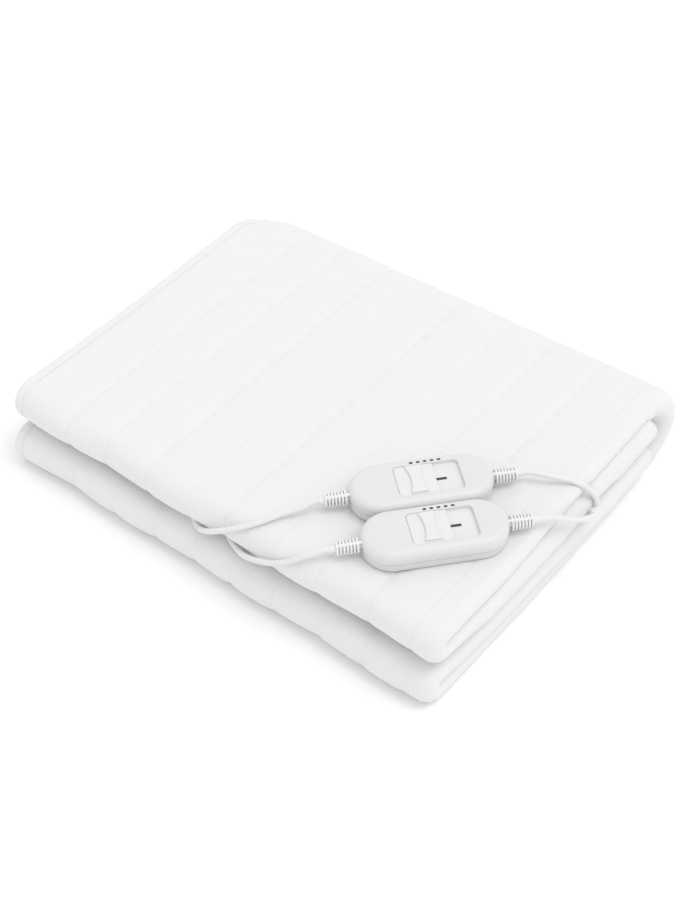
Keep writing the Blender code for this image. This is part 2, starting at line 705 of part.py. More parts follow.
def make_plug(name, at, start, height, heading):
    """A flat plug with a tapered tail and two round pins."""
    body_at = start + PLUG_RELIEF
    half_tail, half_width = PLUG_TAIL_WIDTH / 2, PLUG_WIDTH / 2
    side = []
    for k in range(PLUG_STEPS + 1):
        share = k / PLUG_STEPS
        grown = smooth_step(share / 0.75)
        side.append((PLUG_LENGTH * share, half_tail + (half_width - half_tail) * grown))
    outline = [(u, -v) for u, v in side] + [(u, v) for u, v in reversed(side)]
    low = -PLUG_THICK / 2
    plug = prism(f"{name}_plug", outline, low, -low, 1.0, 1.0)
    bevel(plug, 0.003, 3)
    place(plug, at(body_at, 0.0, height), heading)
    bpy.ops.mesh.primitive_cone_add(
        vertices=16, radius1=0.0035, radius2=0.0055, depth=PLUG_RELIEF + 0.004
    )
    sleeve = bpy.context.object
    sleeve.location = at(start + PLUG_RELIEF / 2 + 0.002, 0.0, height)
    sleeve.rotation_euler = (0.0, math.pi / 2, heading)
    boolean(plug, as_cutter(sleeve, f"{name}_plug_sleeve"), "UNION")
    finish(plug, f"{name}_plug", WHITE_PLASTIC)

    for number, across in enumerate((-PIN_SPACING / 2, PIN_SPACING / 2), 1):
        rounding = 0.0008
        profile = [
            (0.0, PIN_LENGTH), (PIN_RADIUS - rounding, PIN_LENGTH),
            (PIN_RADIUS, PIN_LENGTH - rounding), (PIN_RADIUS, 0.0), (0.0, 0.0),
        ]
        pin = turned(f"{name}_pin_{number}", profile, 12)
        pin.location = at(body_at + PLUG_LENGTH + CORD_GAP, across, height)
        pin.rotation_euler = (0.0, math.pi / 2, heading)
        finish(pin, f"{name}_pin_{number}", PIN_METAL)


clear_scene()
parts = collection("electric_heated_blanket")
cutters = collection("cutters")
cutters.hide_render = True
middle = bpy.data.objects.new("pack_middle", None)
middle.location = (*ORIGIN_SHIFT, 0.0)
parts.objects.link(middle)

make_cloth()
for controller, controller_centre in CONTROLLERS:
    make_controller(controller, controller_centre)
centres = dict(CONTROLLERS)
mains_routes = {"near": NEAR_MAINS_ROUTE, "far": FAR_MAINS_ROUTE}
for hank, hank_centre, hank_heading, hank_run, hank_turns in HANKS:
    mouth = hank_mouth(hank_centre, hank_heading, hank_run)
    make_lead(f"{hank}_mains_lead", centres[hank], "left", mains_routes[hank], mouth)
    make_hank(hank, hank_centre, hank_heading, hank_run, hank_turns)
make_lead("near_blanket_lead", centres["near"], "right", NEAR_BLANKET_ROUTE)
make_lead("far_blanket_lead", centres["far"], "right", FAR_BLANKET_ROUTE)
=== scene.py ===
"""Electric heated blanket: quilted cloth folded into a flat pack, two hand controllers lying on it.

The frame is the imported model. Metres, +Z up, the pack stands on z = 0.
"""

from math import atan, cos, dist, exp, hypot, pi, radians, sin, sqrt, tau

import bmesh
import bpy
import numpy as np
from mathutils import Matrix, Vector, kdtree, noise


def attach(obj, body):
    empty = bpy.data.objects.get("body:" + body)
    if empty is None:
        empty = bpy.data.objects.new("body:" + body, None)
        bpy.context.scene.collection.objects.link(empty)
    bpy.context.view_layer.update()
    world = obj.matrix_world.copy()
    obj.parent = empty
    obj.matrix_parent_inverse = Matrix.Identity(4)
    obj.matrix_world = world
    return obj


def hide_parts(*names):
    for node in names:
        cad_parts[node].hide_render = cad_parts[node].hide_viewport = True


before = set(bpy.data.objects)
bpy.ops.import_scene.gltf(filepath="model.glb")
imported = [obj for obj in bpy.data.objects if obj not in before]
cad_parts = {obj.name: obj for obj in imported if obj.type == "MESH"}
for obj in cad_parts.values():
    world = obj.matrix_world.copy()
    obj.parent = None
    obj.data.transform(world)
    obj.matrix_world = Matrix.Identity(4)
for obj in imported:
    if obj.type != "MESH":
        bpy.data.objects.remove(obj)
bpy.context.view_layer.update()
# Everything is measured from the middle of the pack, which stands here
PACK_MIDDLE = Vector((0.0008, -0.002255, 0.0))

# ---------------------------------------------------------------- leads
# Four round leads of soft white PVC. The two on the left run over the front folds into the crevice
# of the pack, out of its left side and into a tied hank with a plug; the two on the right go down
# over the rim into the crevice, where they end on the cloth.
CORD_DIAMETER = 0.005
CORD_STEP = 0.003
# Points worked out between two of a route's own, before they are spaced evenly
ROUTE_STEPS = 40
CORD_RADIUS = CORD_DIAMETER / 2
FLOOR_LIFT = 0.0001
# Height of a lead's middle where it lies on the floor
LYING_Z = CORD_RADIUS + FLOOR_LIFT
CONTROLLER_YAW = radians(48.9)
CONTROLLERS = {"near": (0.1661, -0.1003), "far": (0.1271, -0.0653)}
# Middle of a strain relief's outer face: this far along the controller and this high
RELIEF_TIP = 0.084
RELIEF_AXIS_Z = 0.0943
MAINS_ROUTES = {
    "far": (
        (0.0656, -0.139, 0.0928), (0.0563, -0.151, 0.0898), (0.045, -0.168, 0.0866),
        (0.0276, -0.1816, 0.0783), (0.0091, -0.1862, 0.066), (-0.005, -0.185, 0.0562),
        (-0.018, -0.179, 0.0475), (-0.035, -0.167, 0.0424), (-0.065, -0.151, 0.0418),
        (-0.13, -0.127, 0.042), (-0.185, -0.12, 0.042), (-0.229, -0.12, 0.042),
        (-0.242, -0.119, 0.04), (-0.253, -0.116, 0.032), (-0.26, -0.11, 0.019),
        (-0.263, -0.101, 0.008), (-0.2628, -0.091, 0.0032),
    ),
    "near": (
        (0.103, -0.172, 0.0922), (0.095, -0.178, 0.0875), (0.085, -0.1825, 0.079),
        (0.071, -0.1862, 0.07), (0.054, -0.1862, 0.061), (0.037, -0.1838, 0.0535),
        (0.0215, -0.177, 0.0475), (0.006, -0.168, 0.0435), (-0.01, -0.156, 0.042),
        (-0.05, -0.115, 0.042), (-0.105, -0.03, 0.042), (-0.15, 0.07, 0.042),
        (-0.185, 0.125, 0.042), (-0.228, 0.148, 0.042), (-0.243, 0.153, 0.04),
        (-0.253, 0.158, 0.032), (-0.26, 0.165, 0.019), (-0.2625, 0.174, 0.008),
        (-0.261, 0.185, 0.0034), (-0.255, 0.197, 0.0026), (-0.243, 0.2065, 0.0026),
        (-0.227, 0.21, 0.0026), (-0.21, 0.21, 0.0026),
    ),
}
BLANKET_ROUTES = {
    "far": (
        (0.1989, 0.0093, 0.0928), (0.2125, 0.0185, 0.0898), (0.2232, 0.0272, 0.0832),
        (0.2288, 0.0336, 0.0742), (0.2327, 0.0383, 0.064), (0.233, 0.0413, 0.0547),
        (0.2298, 0.0446, 0.0475), (0.223, 0.0488, 0.0435), (0.212, 0.054, 0.042),
        (0.192, 0.062, 0.0419), (0.16, 0.077, 0.042), (0.11, 0.102, 0.042),
        (0.05, 0.128, 0.042), (0.01, 0.14, 0.042),
    ),
    "near": (
        (0.232, -0.0165, 0.085), (0.237, -0.002, 0.074), (0.2395, 0.015, 0.063),
        (0.2378, 0.027, 0.055), (0.233, 0.0335, 0.048), (0.225, 0.037, 0.0435),
        (0.213, 0.04, 0.042), (0.15, 0.056, 0.042), (0.08, 0.083, 0.042),
        (0.02, 0.111, 0.042), (-0.02, 0.125, 0.042),
    ),
}
# Hank: middle, heading toward the plug, length of a run, full turns
HANKS = {
    "far": ((-0.2490, -0.0135), radians(92), 0.090, 3),
    "near": ((-0.1280, 0.1950), 0.0, 0.100, 2),
}
FOLD_RADIUS = 3 * CORD_DIAMETER
FOLD_STEPS = 16
# The lead comes down onto its hank this far before the first run
HANK_LEAD_IN = 0.0175
BAND_WIDTH, BAND_THICK, BAND_STEPS = 0.016, 0.0004, 64
TAIL_LENGTH = 0.034
PLUG_Z = 0.007 + FLOOR_LIFT
# Each end of a lead stands this far inside its strain relief
END_TUCK = 0.002
CORD_WHITE = (0.80, 0.80, 0.795, 1.0)


def joined(tree, kind, inputs=None, settings=None):
    """A new node of a kind, with the values or links of its sockets and its own settings."""
    node = tree.nodes.new(kind)
    for name, setting in (settings or {}).items():
        setattr(node, name, setting)
    for name, value in (inputs or {}).items():
        if isinstance(value, bpy.types.NodeSocket):
            tree.links.new(value, node.inputs[name])
        else:
            node.inputs[name].default_value = value
    return node


class Value:
    """A socket of a material's nodes, on which arithmetic adds Math nodes."""

    def __init__(self, tree, socket):
        self.tree, self.socket = tree, socket

    def add(self, kind, inputs, settings=None, output=0):
        """An output of a new node, whose sockets take plain values or other Values."""
        given = {name: getattr(value, "socket", value) for name, value in inputs.items()}
        return Value(self.tree, joined(self.tree, kind, given, settings).outputs[output])

    def math(self, operation, *values):
        return self.add("ShaderNodeMath", dict(enumerate(values)), {"operation": operation})

    def __add__(self, other):
        return self.math("ADD", self, other)

    def __radd__(self, other):
        return self.math("ADD", other, self)

    def __mul__(self, other):
        return self.math("MULTIPLY", self, other)

    def __rmul__(self, other):
        return self.math("MULTIPLY", other, self)

    def scaled(self, factors):
        """A vector times a number for each of its axes."""
        return self.add("ShaderNodeVectorMath", {0: self, 1: factors}, {"operation": "MULTIPLY"})

    def grain(self, scale, detail=2.0):
        """Fine noise over a position, from 0 to 1."""
        return self.add("ShaderNodeTexNoise", {"Vector": self, "Scale": scale, "Detail": detail})

    def tint(self, first, second):
        """A colour between two, by a number."""
        return self.add("ShaderNodeMix", {0: self, 6: first, 7: second}, {"data_type": "RGBA"}, 2)

    def bump(self, strength, distance):
        inputs = {"Height": self, "Strength": strength, "Distance": distance}
        return self.add("ShaderNodeBump", inputs)


def new_finish(name, constants):
    """A material whose shader has these plain numbers, that shader, and Object coordinates."""
    material = bpy.data.materials.new(name)
    material.use_nodes = True
    tree = material.node_tree
    shader = tree.nodes["Principled BSDF"]
    for socket, value in constants.items():
        shader.inputs[socket].default_value = value
    place = Value(tree, tree.nodes.new("ShaderNodeTexCoord").outputs["Object"])
    return material, shader, place


def feed(shader, **links):
    for name, value in links.items():
        value.tree.links.new(value.socket, shader.inputs[name.replace("_", " ")])


def darker(colour, share):
    return (*(share * part for part in colour[:3]), 1.0)


def soft_pvc(name, colour):
    """Extruded PVC: matt, with faint cloudiness and a very fine grain."""
    material, shader, place = new_finish(name, {"Specular IOR Level": 0.42})
    cloud, fine = place.grain(60.0), place.grain(2600.0, 3.0)
    feed(
        shader,
        Base_Color=(0.7 * cloud + 0.3 * fine).tint(darker(colour, 0.93), colour),
        Roughness=0.42 + 0.16 * cloud,
        Normal=fine.bump(0.25, 0.00006),
    )
    return material


def eased(value):
    """From 0 to 1 with a soft start and a soft end."""
    value = min(max(value, 0.0), 1.0)
    return value * value * (3 - 2 * value)


def smooth_line(points):
    """Points a step apart along the natural smooth curve through a route's own points."""
    route = np.array([tuple(point) for point in points], float)
    gaps = np.linalg.norm(np.diff(route, axis=0), axis=1)
    count = len(route)
    matrix, right = np.eye(count), np.zeros((count, 3))
    for i in range(1, count - 1):
        matrix[i, i - 1 : i + 2] = gaps[i - 1], 2 * (gaps[i - 1] + gaps[i]), gaps[i]
        slopes = (route[i + 1] - route[i]) / gaps[i], (route[i] - route[i - 1]) / gaps[i - 1]
        right[i] = 6 * (slopes[0] - slopes[1])
    bends = np.linalg.solve(matrix, right)
    fine = []
    for i in range(count - 1):
        for t in np.linspace(0.0, 1.0, ROUTE_STEPS, endpoint=i == count - 2):
            a, b, h = 1 - t, t, gaps[i]
            bowed = ((a**3 - a) * bends[i] + (b**3 - b) * bends[i + 1]) * h * h / 6
            fine.append(a * route[i] + b * route[i + 1] + bowed)
    fine = np.array(fine)
    run = np.concatenate([[0.0], np.cumsum(np.linalg.norm(np.diff(fine, axis=0), axis=1))])
    even = np.linspace(0.0, run[-1], max(3, round(run[-1] / CORD_STEP) + 1))
    line = np.column_stack([np.interp(even, run, fine[:, k]) for k in range(3)])
    line[:, 2] = np.maximum(line[:, 2], LYING_Z)
    return line


def relief_tip(centre, side):
    """Middle of a strain relief's outer face, and the way that it points: -1 left, 1 right."""
    out = Vector((cos(CONTROLLER_YAW), sin(CONTROLLER_YAW), 0.0)) * side
    return Vector((*centre, RELIEF_AXIS_Z)) + out * RELIEF_TIP, out


def hank_turns(run, turns):
    """A folded lead, each turn on the last. The lead climbs a diameter in a turn's second fold."""
    half, steps, points = run / 2, round(run / CORD_STEP), []

    def fold(middle, z, start, climb):
        for k in range(1, FOLD_STEPS):
            angle = start - pi * k / FOLD_STEPS
            spot = (middle + FOLD_RADIUS * cos(angle), FOLD_RADIUS * sin(angle))
            points.append((*spot, z + climb * eased(k / FOLD_STEPS)))

    for turn in range(turns + 1):
        z = LYING_Z + turn * CORD_DIAMETER
        points += [(-half + run * k / steps, FOLD_RADIUS, z) for k in range(steps + 1)]
        if turn < turns:
            fold(half, z, pi / 2, 0.0)
            points += [(half - run * k / steps, -FOLD_RADIUS, z) for k in range(steps + 1)]
            fold(-half, z, -pi / 2, CORD_DIAMETER)
    return points


def tail_route(run, turns):
    """From the top of the hank down to the plug's relief, in the hank's frame."""
    turn = FOLD_RADIUS + CORD_RADIUS
    leave = run / 2 + sqrt(turn**2 - (FOLD_RADIUS - CORD_RADIUS) ** 2)
    relief = run / 2 + turn + TAIL_LENGTH
    top = (turns + 0.5) * CORD_DIAMETER + FLOOR_LIFT
    return [
        (leave, FOLD_RADIUS, top),
        (leave + CORD_DIAMETER, FOLD_RADIUS, top),
        ((leave + relief) / 2, FOLD_RADIUS / 2, (top + PLUG_Z) / 2),
        (relief - CORD_DIAMETER, 0.0, PLUG_Z),
        (relief + END_TUCK, 0.0, PLUG_Z),
    ]


def shown(name, data):
    """An object at the origin for a mesh, a curve, a lamp or the camera."""
    piece = bpy.data.objects.new(name, data)
    bpy.context.scene.collection.objects.link(piece)
    return piece


def formed(name, form):
    """A piece from a form, which is used up."""
    mesh = bpy.data.meshes.new(name)
    form.to_mesh(mesh)
    form.free()
    return shown(name, mesh)


def put(piece, to, finish, body, slot, *nodes):
    """Places a finished piece, gives it its finish and lets it ride."""
    piece.data.transform(to)
    piece.data.shade_smooth()
    piece.data.set_sharp_from_angle(angle=radians(32))
    piece.data.materials.clear()
    piece.data.materials.append(finish)
    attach(piece, body)
    if nodes:
        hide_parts(*nodes)


def cord_piece(name, line, *nodes):
    """A lead along a line, in place of the frame's plain ones."""
    curve = bpy.data.curves.new(name, "CURVE")
    curve.dimensions = "3D"
    curve.bevel_depth = CORD_RADIUS
    curve.bevel_resolution = 4
    curve.use_fill_caps = True
    spline = curve.splines.new("POLY")
    spline.points.add(len(line) - 1)
    for spot, point in zip(spline.points, line):
        spot.co = (*(Vector(point) + PACK_MIDDLE), 1.0)
    spline.use_smooth = True
    curve.materials.append(cord_pvc)
    piece = shown(name, curve)
    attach(piece, "pack")
    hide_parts(*nodes)
    return piece


def tie_band(name, turns):
    """A paper band round the middle of a hank, tight over its runs."""
    half, inner, outer = BAND_WIDTH / 2, CORD_RADIUS, CORD_RADIUS + BAND_THICK
    runs = [(-FOLD_RADIUS, LYING_Z + k * CORD_DIAMETER) for k in range(turns)]
    runs += [(FOLD_RADIUS, LYING_Z + k * CORD_DIAMETER) for k in range(turns + 1)]
    form = bmesh.new()
    rings = []
    for u, radius in ((-half, inner), (-half, outer), (half, outer), (half, inner)):
        ring = []
        for k in range(BAND_STEPS):
            v, z = cos(tau * k / BAND_STEPS), sin(tau * k / BAND_STEPS)
            run = max(runs, key=lambda spot: spot[0] * v + spot[1] * z)
            height = max(run[1] + radius * z, radius * 0.02)
            ring.append(form.verts.new((u, run[0] + radius * v, height)))
        rings.append(ring)
    for ring, after in zip(rings, rings[1:] + rings[:1]):
        for k in range(BAND_STEPS):
            form.faces.new((ring[k], ring[k - 1], after[k - 1], after[k]))
    bmesh.ops.recalc_face_normals(form, faces=form.faces)
    return formed(name, form)


cord_pvc = soft_pvc("cord_pvc", CORD_WHITE)
band_paper, paper_shader, paper_place = new_finish("band_paper", {"Roughness": 0.8})
paper_fibre = paper_place.scaled((1.0, 1.0, 0.3)).grain(900.0, 4.0)
feed(
    paper_shader,
    Base_Color=paper_fibre.tint((0.66, 0.65, 0.62, 1.0), (0.76, 0.75, 0.73, 1.0)),
    Normal=paper_fibre.bump(0.3, 0.0001),
)
cord_points = []
for name, centre in CONTROLLERS.items():
    tip, out = relief_tip(centre, -1)
    hank_centre, heading, run, turns = HANKS[name]
    to_hank = Matrix.Translation((*hank_centre, 0.0)) @ Matrix.Rotation(heading, 4, "Z")
    turned = [to_hank @ Vector(point) for point in hank_turns(run, turns)]
    stretch = [tip - out * END_TUCK, tip + out * CORD_DIAMETER, *MAINS_ROUTES[name]]
    stretch += [to_hank @ Vector((-run / 2 - HANK_LEAD_IN, FOLD_RADIUS, turned[0].z)), turned[0]]
    tail = [to_hank @ Vector(point) for point in tail_route(run, turns)]
    line = [*smooth_line(stretch)[:-1], *turned, *smooth_line(tail)]
    cord_points.extend(line)
    mains = cord_piece(
        f"{name}_mains_cord", line, f"{name}_mains_lead", f"{name}_hank", f"{name}_tail"
    )
    tie = tie_band(f"{name}_hank_band", turns)
    put(tie, Matrix.Translation(PACK_MIDDLE) @ to_hank, band_paper, "pack", "cord")
    tip + PACK_MIDDLE

    tip, out = relief_tip(centre, 1)
    line = smooth_line([tip - out * END_TUCK, tip + out * CORD_DIAMETER, *BLANKET_ROUTES[name]])
    cord_points.extend(line)
    short = cord_piece(f"{name}_blanket_cord", line, f"{name}_blanket_lead")
    tip + PACK_MIDDLE

# ---------------------------------------------------------------- folded blanket
# One quilted cloth: two faces of white brushed polyester over thin wadding, sewn in channels along
# its length. It is folded in three across its width and then in four, with both ends inside, and
# the seams run on over every fold. The puffs between them are soft where the cloth turns.
HALF_WIDTH = 0.2275
PACK_DEPTH = 0.373
CLOTH = 0.0058
LAYER_PITCH = 0.0065
# Four strips of three layers lie on each other, with the leads' crevice between the middle two
HALF_STRIP = LAYER_PITCH + CLOTH / 2
FOLD_GAP = 0.001
CREVICE = 0.0068
BOTTOM_Z = HALF_STRIP
LOWER_Z = BOTTOM_Z + 2 * HALF_STRIP + FOLD_GAP
UPPER_Z = LOWER_Z + 2 * HALF_STRIP + CREVICE
TOP_Z = UPPER_Z + 2 * HALF_STRIP + FOLD_GAP
MIDDLE_Z = (BOTTOM_Z + TOP_Z) / 2
UPPER_FOLD_Y = -0.1627
LOWER_FOLD_Y = -0.1697
BACK_FOLD_Y = 0.1445
FRONT_RADIUS = (TOP_Z - UPPER_Z) / 2
BACK_RADIUS = (TOP_Z - BOTTOM_Z) / 2
# The cloth's two ends inside the back fold: their round and the share of it that they keep, how
# steeply they step back beyond that, and how much of the cloth's thickness their edges have
END_RADIUS = 0.0219
END_ROUND = 0.98
END_SLANT = 1.9
END_TAPER = 0.55
INNER_EDGE = HALF_WIDTH - 0.0375
# How wide the rim loops round: at the inner ends, at the back fold's start and where that fold is
# widest, and how far it bulges out there
WIDE_LOOP = 2 * LAYER_PITCH
BACK_LOOP = 0.002
BACK_ROLL = 0.020
BACK_SWELL = 0.0045
# Past the inner ends the rim hangs into their place, over this share of the way to the back
BACK_HANG = 0.011
HANG_FROM, HANG_OVER = 0.95, 0.035
# Near the rim the inner ends stop this far short of the back fold
RIM_SHORT, RIM_EASE = 0.009, 0.02
# The two inner layers' fold on the left stands this far inside the hem
HEM_TUCK = 0.006
# Where each panel's rim stands: share of the way from the front to the back, reach
TOP_REACH = ((0.0, 0.0), (0.25, 0.001), (0.5, -0.002), (0.8, -0.0035), (1.0, -0.0045))
UPPER_REACH = ((0.0, 0.0), (0.15, 0.004), (0.5, 0.0045), (0.7, 0.003), (1.0, 0.004))
LOWER_REACH = ((0.0, -0.0005), (0.2, 0.002), (0.4, 0.003), (0.8, 0.006), (1.0, 0.004))
BOTTOM_REACH = ((0.0, -0.0005), (0.2, 0.0), (0.4, 0.001), (0.75, 0.0), (1.0, -0.003))
LEFT_OUT = ((0.0, 0.0028), (0.12, 0.0018), (0.5, 0.002), (1.0, 0.0056))
# Seams across the pack on its top, and how far each has drifted where the cloth comes round below
SEAMS = (-0.165, -0.122, -0.073, -0.027, 0.012, 0.066, 0.110, 0.160, 0.203)
SEAM_DRIFT = (0.005, 0.013, 0.010, 0.008, 0.010, 0.002, 0.004, 0.001, 0.0)
HEM_SEAM_IN = 0.010
# How hard each seam is drawn in, the hem's first
SEAM_DRAW = (0.5, 1.0, 1.0, 1.1, 0.35, 1.2, 0.6, 0.9, 1.0, 0.3)
CHANNEL_WIDTH = 0.046
NOTCH_DEPTH, NOTCH_REACH = 0.0002, 0.0028
PUCKER_HEIGHT, PUCKER_REACH, PUCKER_PITCH = 0.0005, 0.009, 0.0135
RUMPLE = 0.0005
# Columns of one channel, as shares of its width: close together beside its two seams
CHANNEL = (0.0, 0.03, 0.08, 0.15, 0.25, 0.37, 0.5, 0.63, 0.75, 0.85, 0.92, 0.97)
CLOTH_WHITE = (0.805, 0.805, 0.80, 1.0)
CLOTH_SHADE = (0.745, 0.745, 0.745, 1.0)
DIP_DEPTH = 0.0012
# The upper fold's rim sags into the crevice, but hardly where the right leads go in
RIM_SAG = 0.0055
LEADS_IN_Y = 0.048
FRONT_WAVE = 0.0013
# Share of the width by which the back runs askew
BACK_SKEW = 0.038
# The far left corner is pulled round from this far in
CORNER_ROUND = (0.040, 0.021)
# Half a controller's straight part, half its width, and how far off it the cloth puffs up again
REST_LENGTH, REST_HALF, REST_FADE = 0.034, 0.026, 0.02
REST_LIFT = 0.00015
LEAD_BED = CORD_RADIUS + 0.0002


def at_share(table, share):
    return float(np.interp(share, [row[0] for row in table], [row[1] for row in table]))


def between(pair, share):
    return pair[0] + (pair[1] - pair[0]) * share


def end_y(z):
    """Where the cloth's two ends stop inside the back fold, at a height."""
    off, limit = abs(z - MIDDLE_Z), END_ROUND * END_RADIUS
    reach = sqrt(END_RADIUS**2 - min(off, limit) ** 2)
    return BACK_FOLD_Y + reach - END_SLANT * max(off - limit, 0.0)


def sagged(x, y, z, panel):
    """The pack's dips and waves. Its underside stays flat, and so does the controllers' rest."""
    high = eased((z - MIDDLE_Z) / MIDDLE_Z)
    rest = eased((x + 0.03) / 0.09) * eased((0.10 - y) / 0.06)
    dips = 0.5 + 0.5 * sin(34 * x + 1.0) * cos(17 * y + 14 * x)
    z -= DIP_DEPTH * high * (1 - rest) * dips
    if panel == "upper":
        along = eased((y + 0.14) / 0.06) * eased((0.13 - y) / 0.05)
        leads = 0.15 + 0.85 * eased((abs(y - LEADS_IN_Y) - 0.012) / 0.02)
        low = min(max((TOP_Z - HALF_STRIP - z) / (2 * HALF_STRIP), 0.0), 1.0)
        z -= RIM_SAG * along * leads * low * eased((x - 0.185) / 0.03)
    corner_x, corner_y = CORNER_ROUND[0] - HALF_WIDTH, BACK_FOLD_Y - CORNER_ROUND[1]
    bulge = (BACK_RADIUS + HALF_STRIP) ** 2 - (z - MIDDLE_Z) ** 2
    u = (corner_x - x) / (CORNER_ROUND[0] + LEFT_OUT[-1][1])
    v = (y - corner_y) / (CORNER_ROUND[1] + sqrt(max(bulge, 0.0003)))
    if u > 0 and v > 0:
        pull = eased((z - 0.015) / 0.045) * (1 - max(u, v) / hypot(u, v))
        x, y = x + pull * (corner_x - x), y - pull * (y - corner_y)
    front = eased((-0.10 - y) / 0.07)
    y += FRONT_WAVE * front * sin(46 * x + (0.6 if z > MIDDLE_Z else 2.9))
    return x, y + BACK_SKEW * x * (y + PACK_DEPTH / 2) / PACK_DEPTH, z


def strip_stations():
    """Rows along the strip of three layers, from its upper end round to its lower end.

    Panel, share of the way from front to back, y, z, way that the outer face looks, reach of the
    rim, width of the rim's loop, thickness, how far the seams have drifted, how full the channels
    are and how deep the seams are drawn in.
    """
    rows = []

    def panel(name, shares, y, z, side, reach, loops, drift, deep):
        for share in shares:
            thick = CLOTH * (END_TAPER if share == 1.0 else 1.0)
            loop = between(loops, share**0.35 if drift else share)
            if name in ("top", "bottom"):
                loop += BACK_HANG * eased((share - HANG_FROM) / HANG_OVER)
            row = (name, share, y, z, (0.0, side), at_share(reach, share), loop, thick)
            rows.append((*row, drift, 0.0, between(deep, eased(share))))

    def bend(name, y, z, radius, start, steps, reaches, loops, drifts, full, deep, out_by=0.0):
        for k in range(steps + 1):
            share = k / steps
            angle = start - pi * share
            out = (cos(angle), sin(angle))
            swell = sin(pi * share)
            spot = (y + radius * out[0], z + radius * out[1])
            reach = between(reaches, share) + out_by * swell
            row = (name, share, *spot, out, reach, between(loops, sqrt(swell)), CLOTH)
            rows.append((*row, between(drifts, share), full * swell, between(deep, swell)))

    hidden = [k / 22 for k in range(1, 22)]
    open_panel = [k / 96 for k in range(1, 96)]
    inner_end = [*hidden, 0.99, 1.0]
    down, up = -pi / 2, pi / 2
    growing, shrinking = (LAYER_PITCH, WIDE_LOOP), (LAYER_PITCH, BACK_LOOP)
    level = (LAYER_PITCH, LAYER_PITCH)
    panel("upper", inner_end[::-1], UPPER_FOLD_Y, UPPER_Z, -1.0, UPPER_REACH, growing, 0.0,
          (0.0014, 0.0008))
    bend("front", UPPER_FOLD_Y, (UPPER_Z + TOP_Z) / 2, FRONT_RADIUS, down, 26, (0.0, 0.0), level,
         (0.0, 0.0), 0.0004, (0.0009, 0.0011))
    panel("top", open_panel, UPPER_FOLD_Y, TOP_Z, 1.0, TOP_REACH, shrinking, 0.0,
          (0.0020, 0.0015))
    bend("back", BACK_FOLD_Y, MIDDLE_Z, BACK_RADIUS, up, 40,
         (TOP_REACH[-1][1], BOTTOM_REACH[-1][1]), (BACK_LOOP + BACK_HANG, BACK_ROLL),
         (0.0, 1.0), 0.0003, (0.0006, 0.0009), BACK_SWELL)
    panel("bottom", hidden[::-1], LOWER_FOLD_Y, BOTTOM_Z, -1.0, BOTTOM_REACH, shrinking, 1.0,
          (0.0012, 0.0012))
    bend("front", LOWER_FOLD_Y, (BOTTOM_Z + LOWER_Z) / 2, FRONT_RADIUS, down, 26,
         (LOWER_REACH[0][1], LOWER_REACH[0][1]), level, (1.0, 1.0), 0.0005, (0.0009, 0.0014))
    panel("lower", inner_end, LOWER_FOLD_Y, LOWER_Z, 1.0, LOWER_REACH, growing, 1.0,
          (0.0014, 0.0008))
    return rows


def strip_section(reach, left, loop, thick, drift):
    """The strip's outline across its width, as one closed ring.

    Rows of x, n, the way out of the cloth in x and n, the place across the cloth, and the channel's
    number and share of its width, or -1 where no channel is drawn. n is the distance from the
    strip's middle toward its outer face.
    """
    half = thick / 2
    hem = -HALF_WIDTH - left
    middle = (LAYER_PITCH + loop) / 2
    middle_n = (LAYER_PITCH - loop) / 2
    right = HALF_WIDTH + reach - middle - half
    turn = hem + HEM_TUCK + LAYER_PITCH / 2 + half

    def face(across, side, height):
        return [(x, height(x) + side * half, 0.0, side, -1.0, 0.0) for x in across]

    def second(x):
        return -loop * eased((x - INNER_EDGE) / (right - INNER_EDGE))

    def arc(x, n, radius, start, sweep, steps, inward=1.0):
        found = []
        for k in range(steps + 1):
            a = start + sweep * k / steps
            c, s = cos(a), sin(a)
            found.append((x + radius * c, n + radius * s, inward * c, inward * s, -1.0, 0.0))
        return found

    knots = [hem + half, hem + HEM_SEAM_IN]
    knots += [seam + drift * moved for seam, moved in zip(SEAMS, SEAM_DRIFT)]
    outer = []
    for number, (low, high) in enumerate(zip(knots, [*knots[1:], right])):
        for share in CHANNEL:
            x = low + (high - low) * share
            outer.append((x, LAYER_PITCH + half, 0.0, 1.0, float(number), share))
    outer.append((right, LAYER_PITCH + half, 0.0, 1.0, float(len(knots) - 1), 1.0))

    rim = np.linspace(INNER_EDGE, right, 7)
    first_across = [*np.linspace(hem + half, INNER_EDGE, 14), *rim[1:]]
    second_across = [*rim[::-1], *np.linspace(INNER_EDGE, turn, 14)[1:]]
    third_across = np.linspace(turn, INNER_EDGE - half, 15)
    quarter = pi / 2
    outside = [
        *outer,
        *arc(right, middle_n, middle + half, quarter, -pi, 16)[1:],
        *face(second_across, -1.0, second)[1:],
        *arc(turn, -LAYER_PITCH / 2, LAYER_PITCH / 2 - half, quarter, pi, 4, -1.0)[1:],
        *face(third_across, 1.0, lambda x: -LAYER_PITCH)[1:],
    ]
    inside = [
        *face(first_across, -1.0, lambda x: LAYER_PITCH),
        *arc(right, middle_n, middle - half, quarter, -pi, 8, -1.0)[1:],
        *face(second_across, 1.0, second)[1:],
        *arc(turn, -LAYER_PITCH / 2, LAYER_PITCH / 2 + half, quarter, pi, 12)[1:],
        *face(third_across, -1.0, lambda x: -LAYER_PITCH)[1:],
    ]
    edge = arc(INNER_EDGE - half, -LAYER_PITCH, half, quarter, -pi, 6)[1:-1]
    hem_round = arc(hem + half, LAYER_PITCH, half, -quarter, -pi, 8)[1:-1]
    return [*outside, *edge, *reversed(inside), *hem_round]


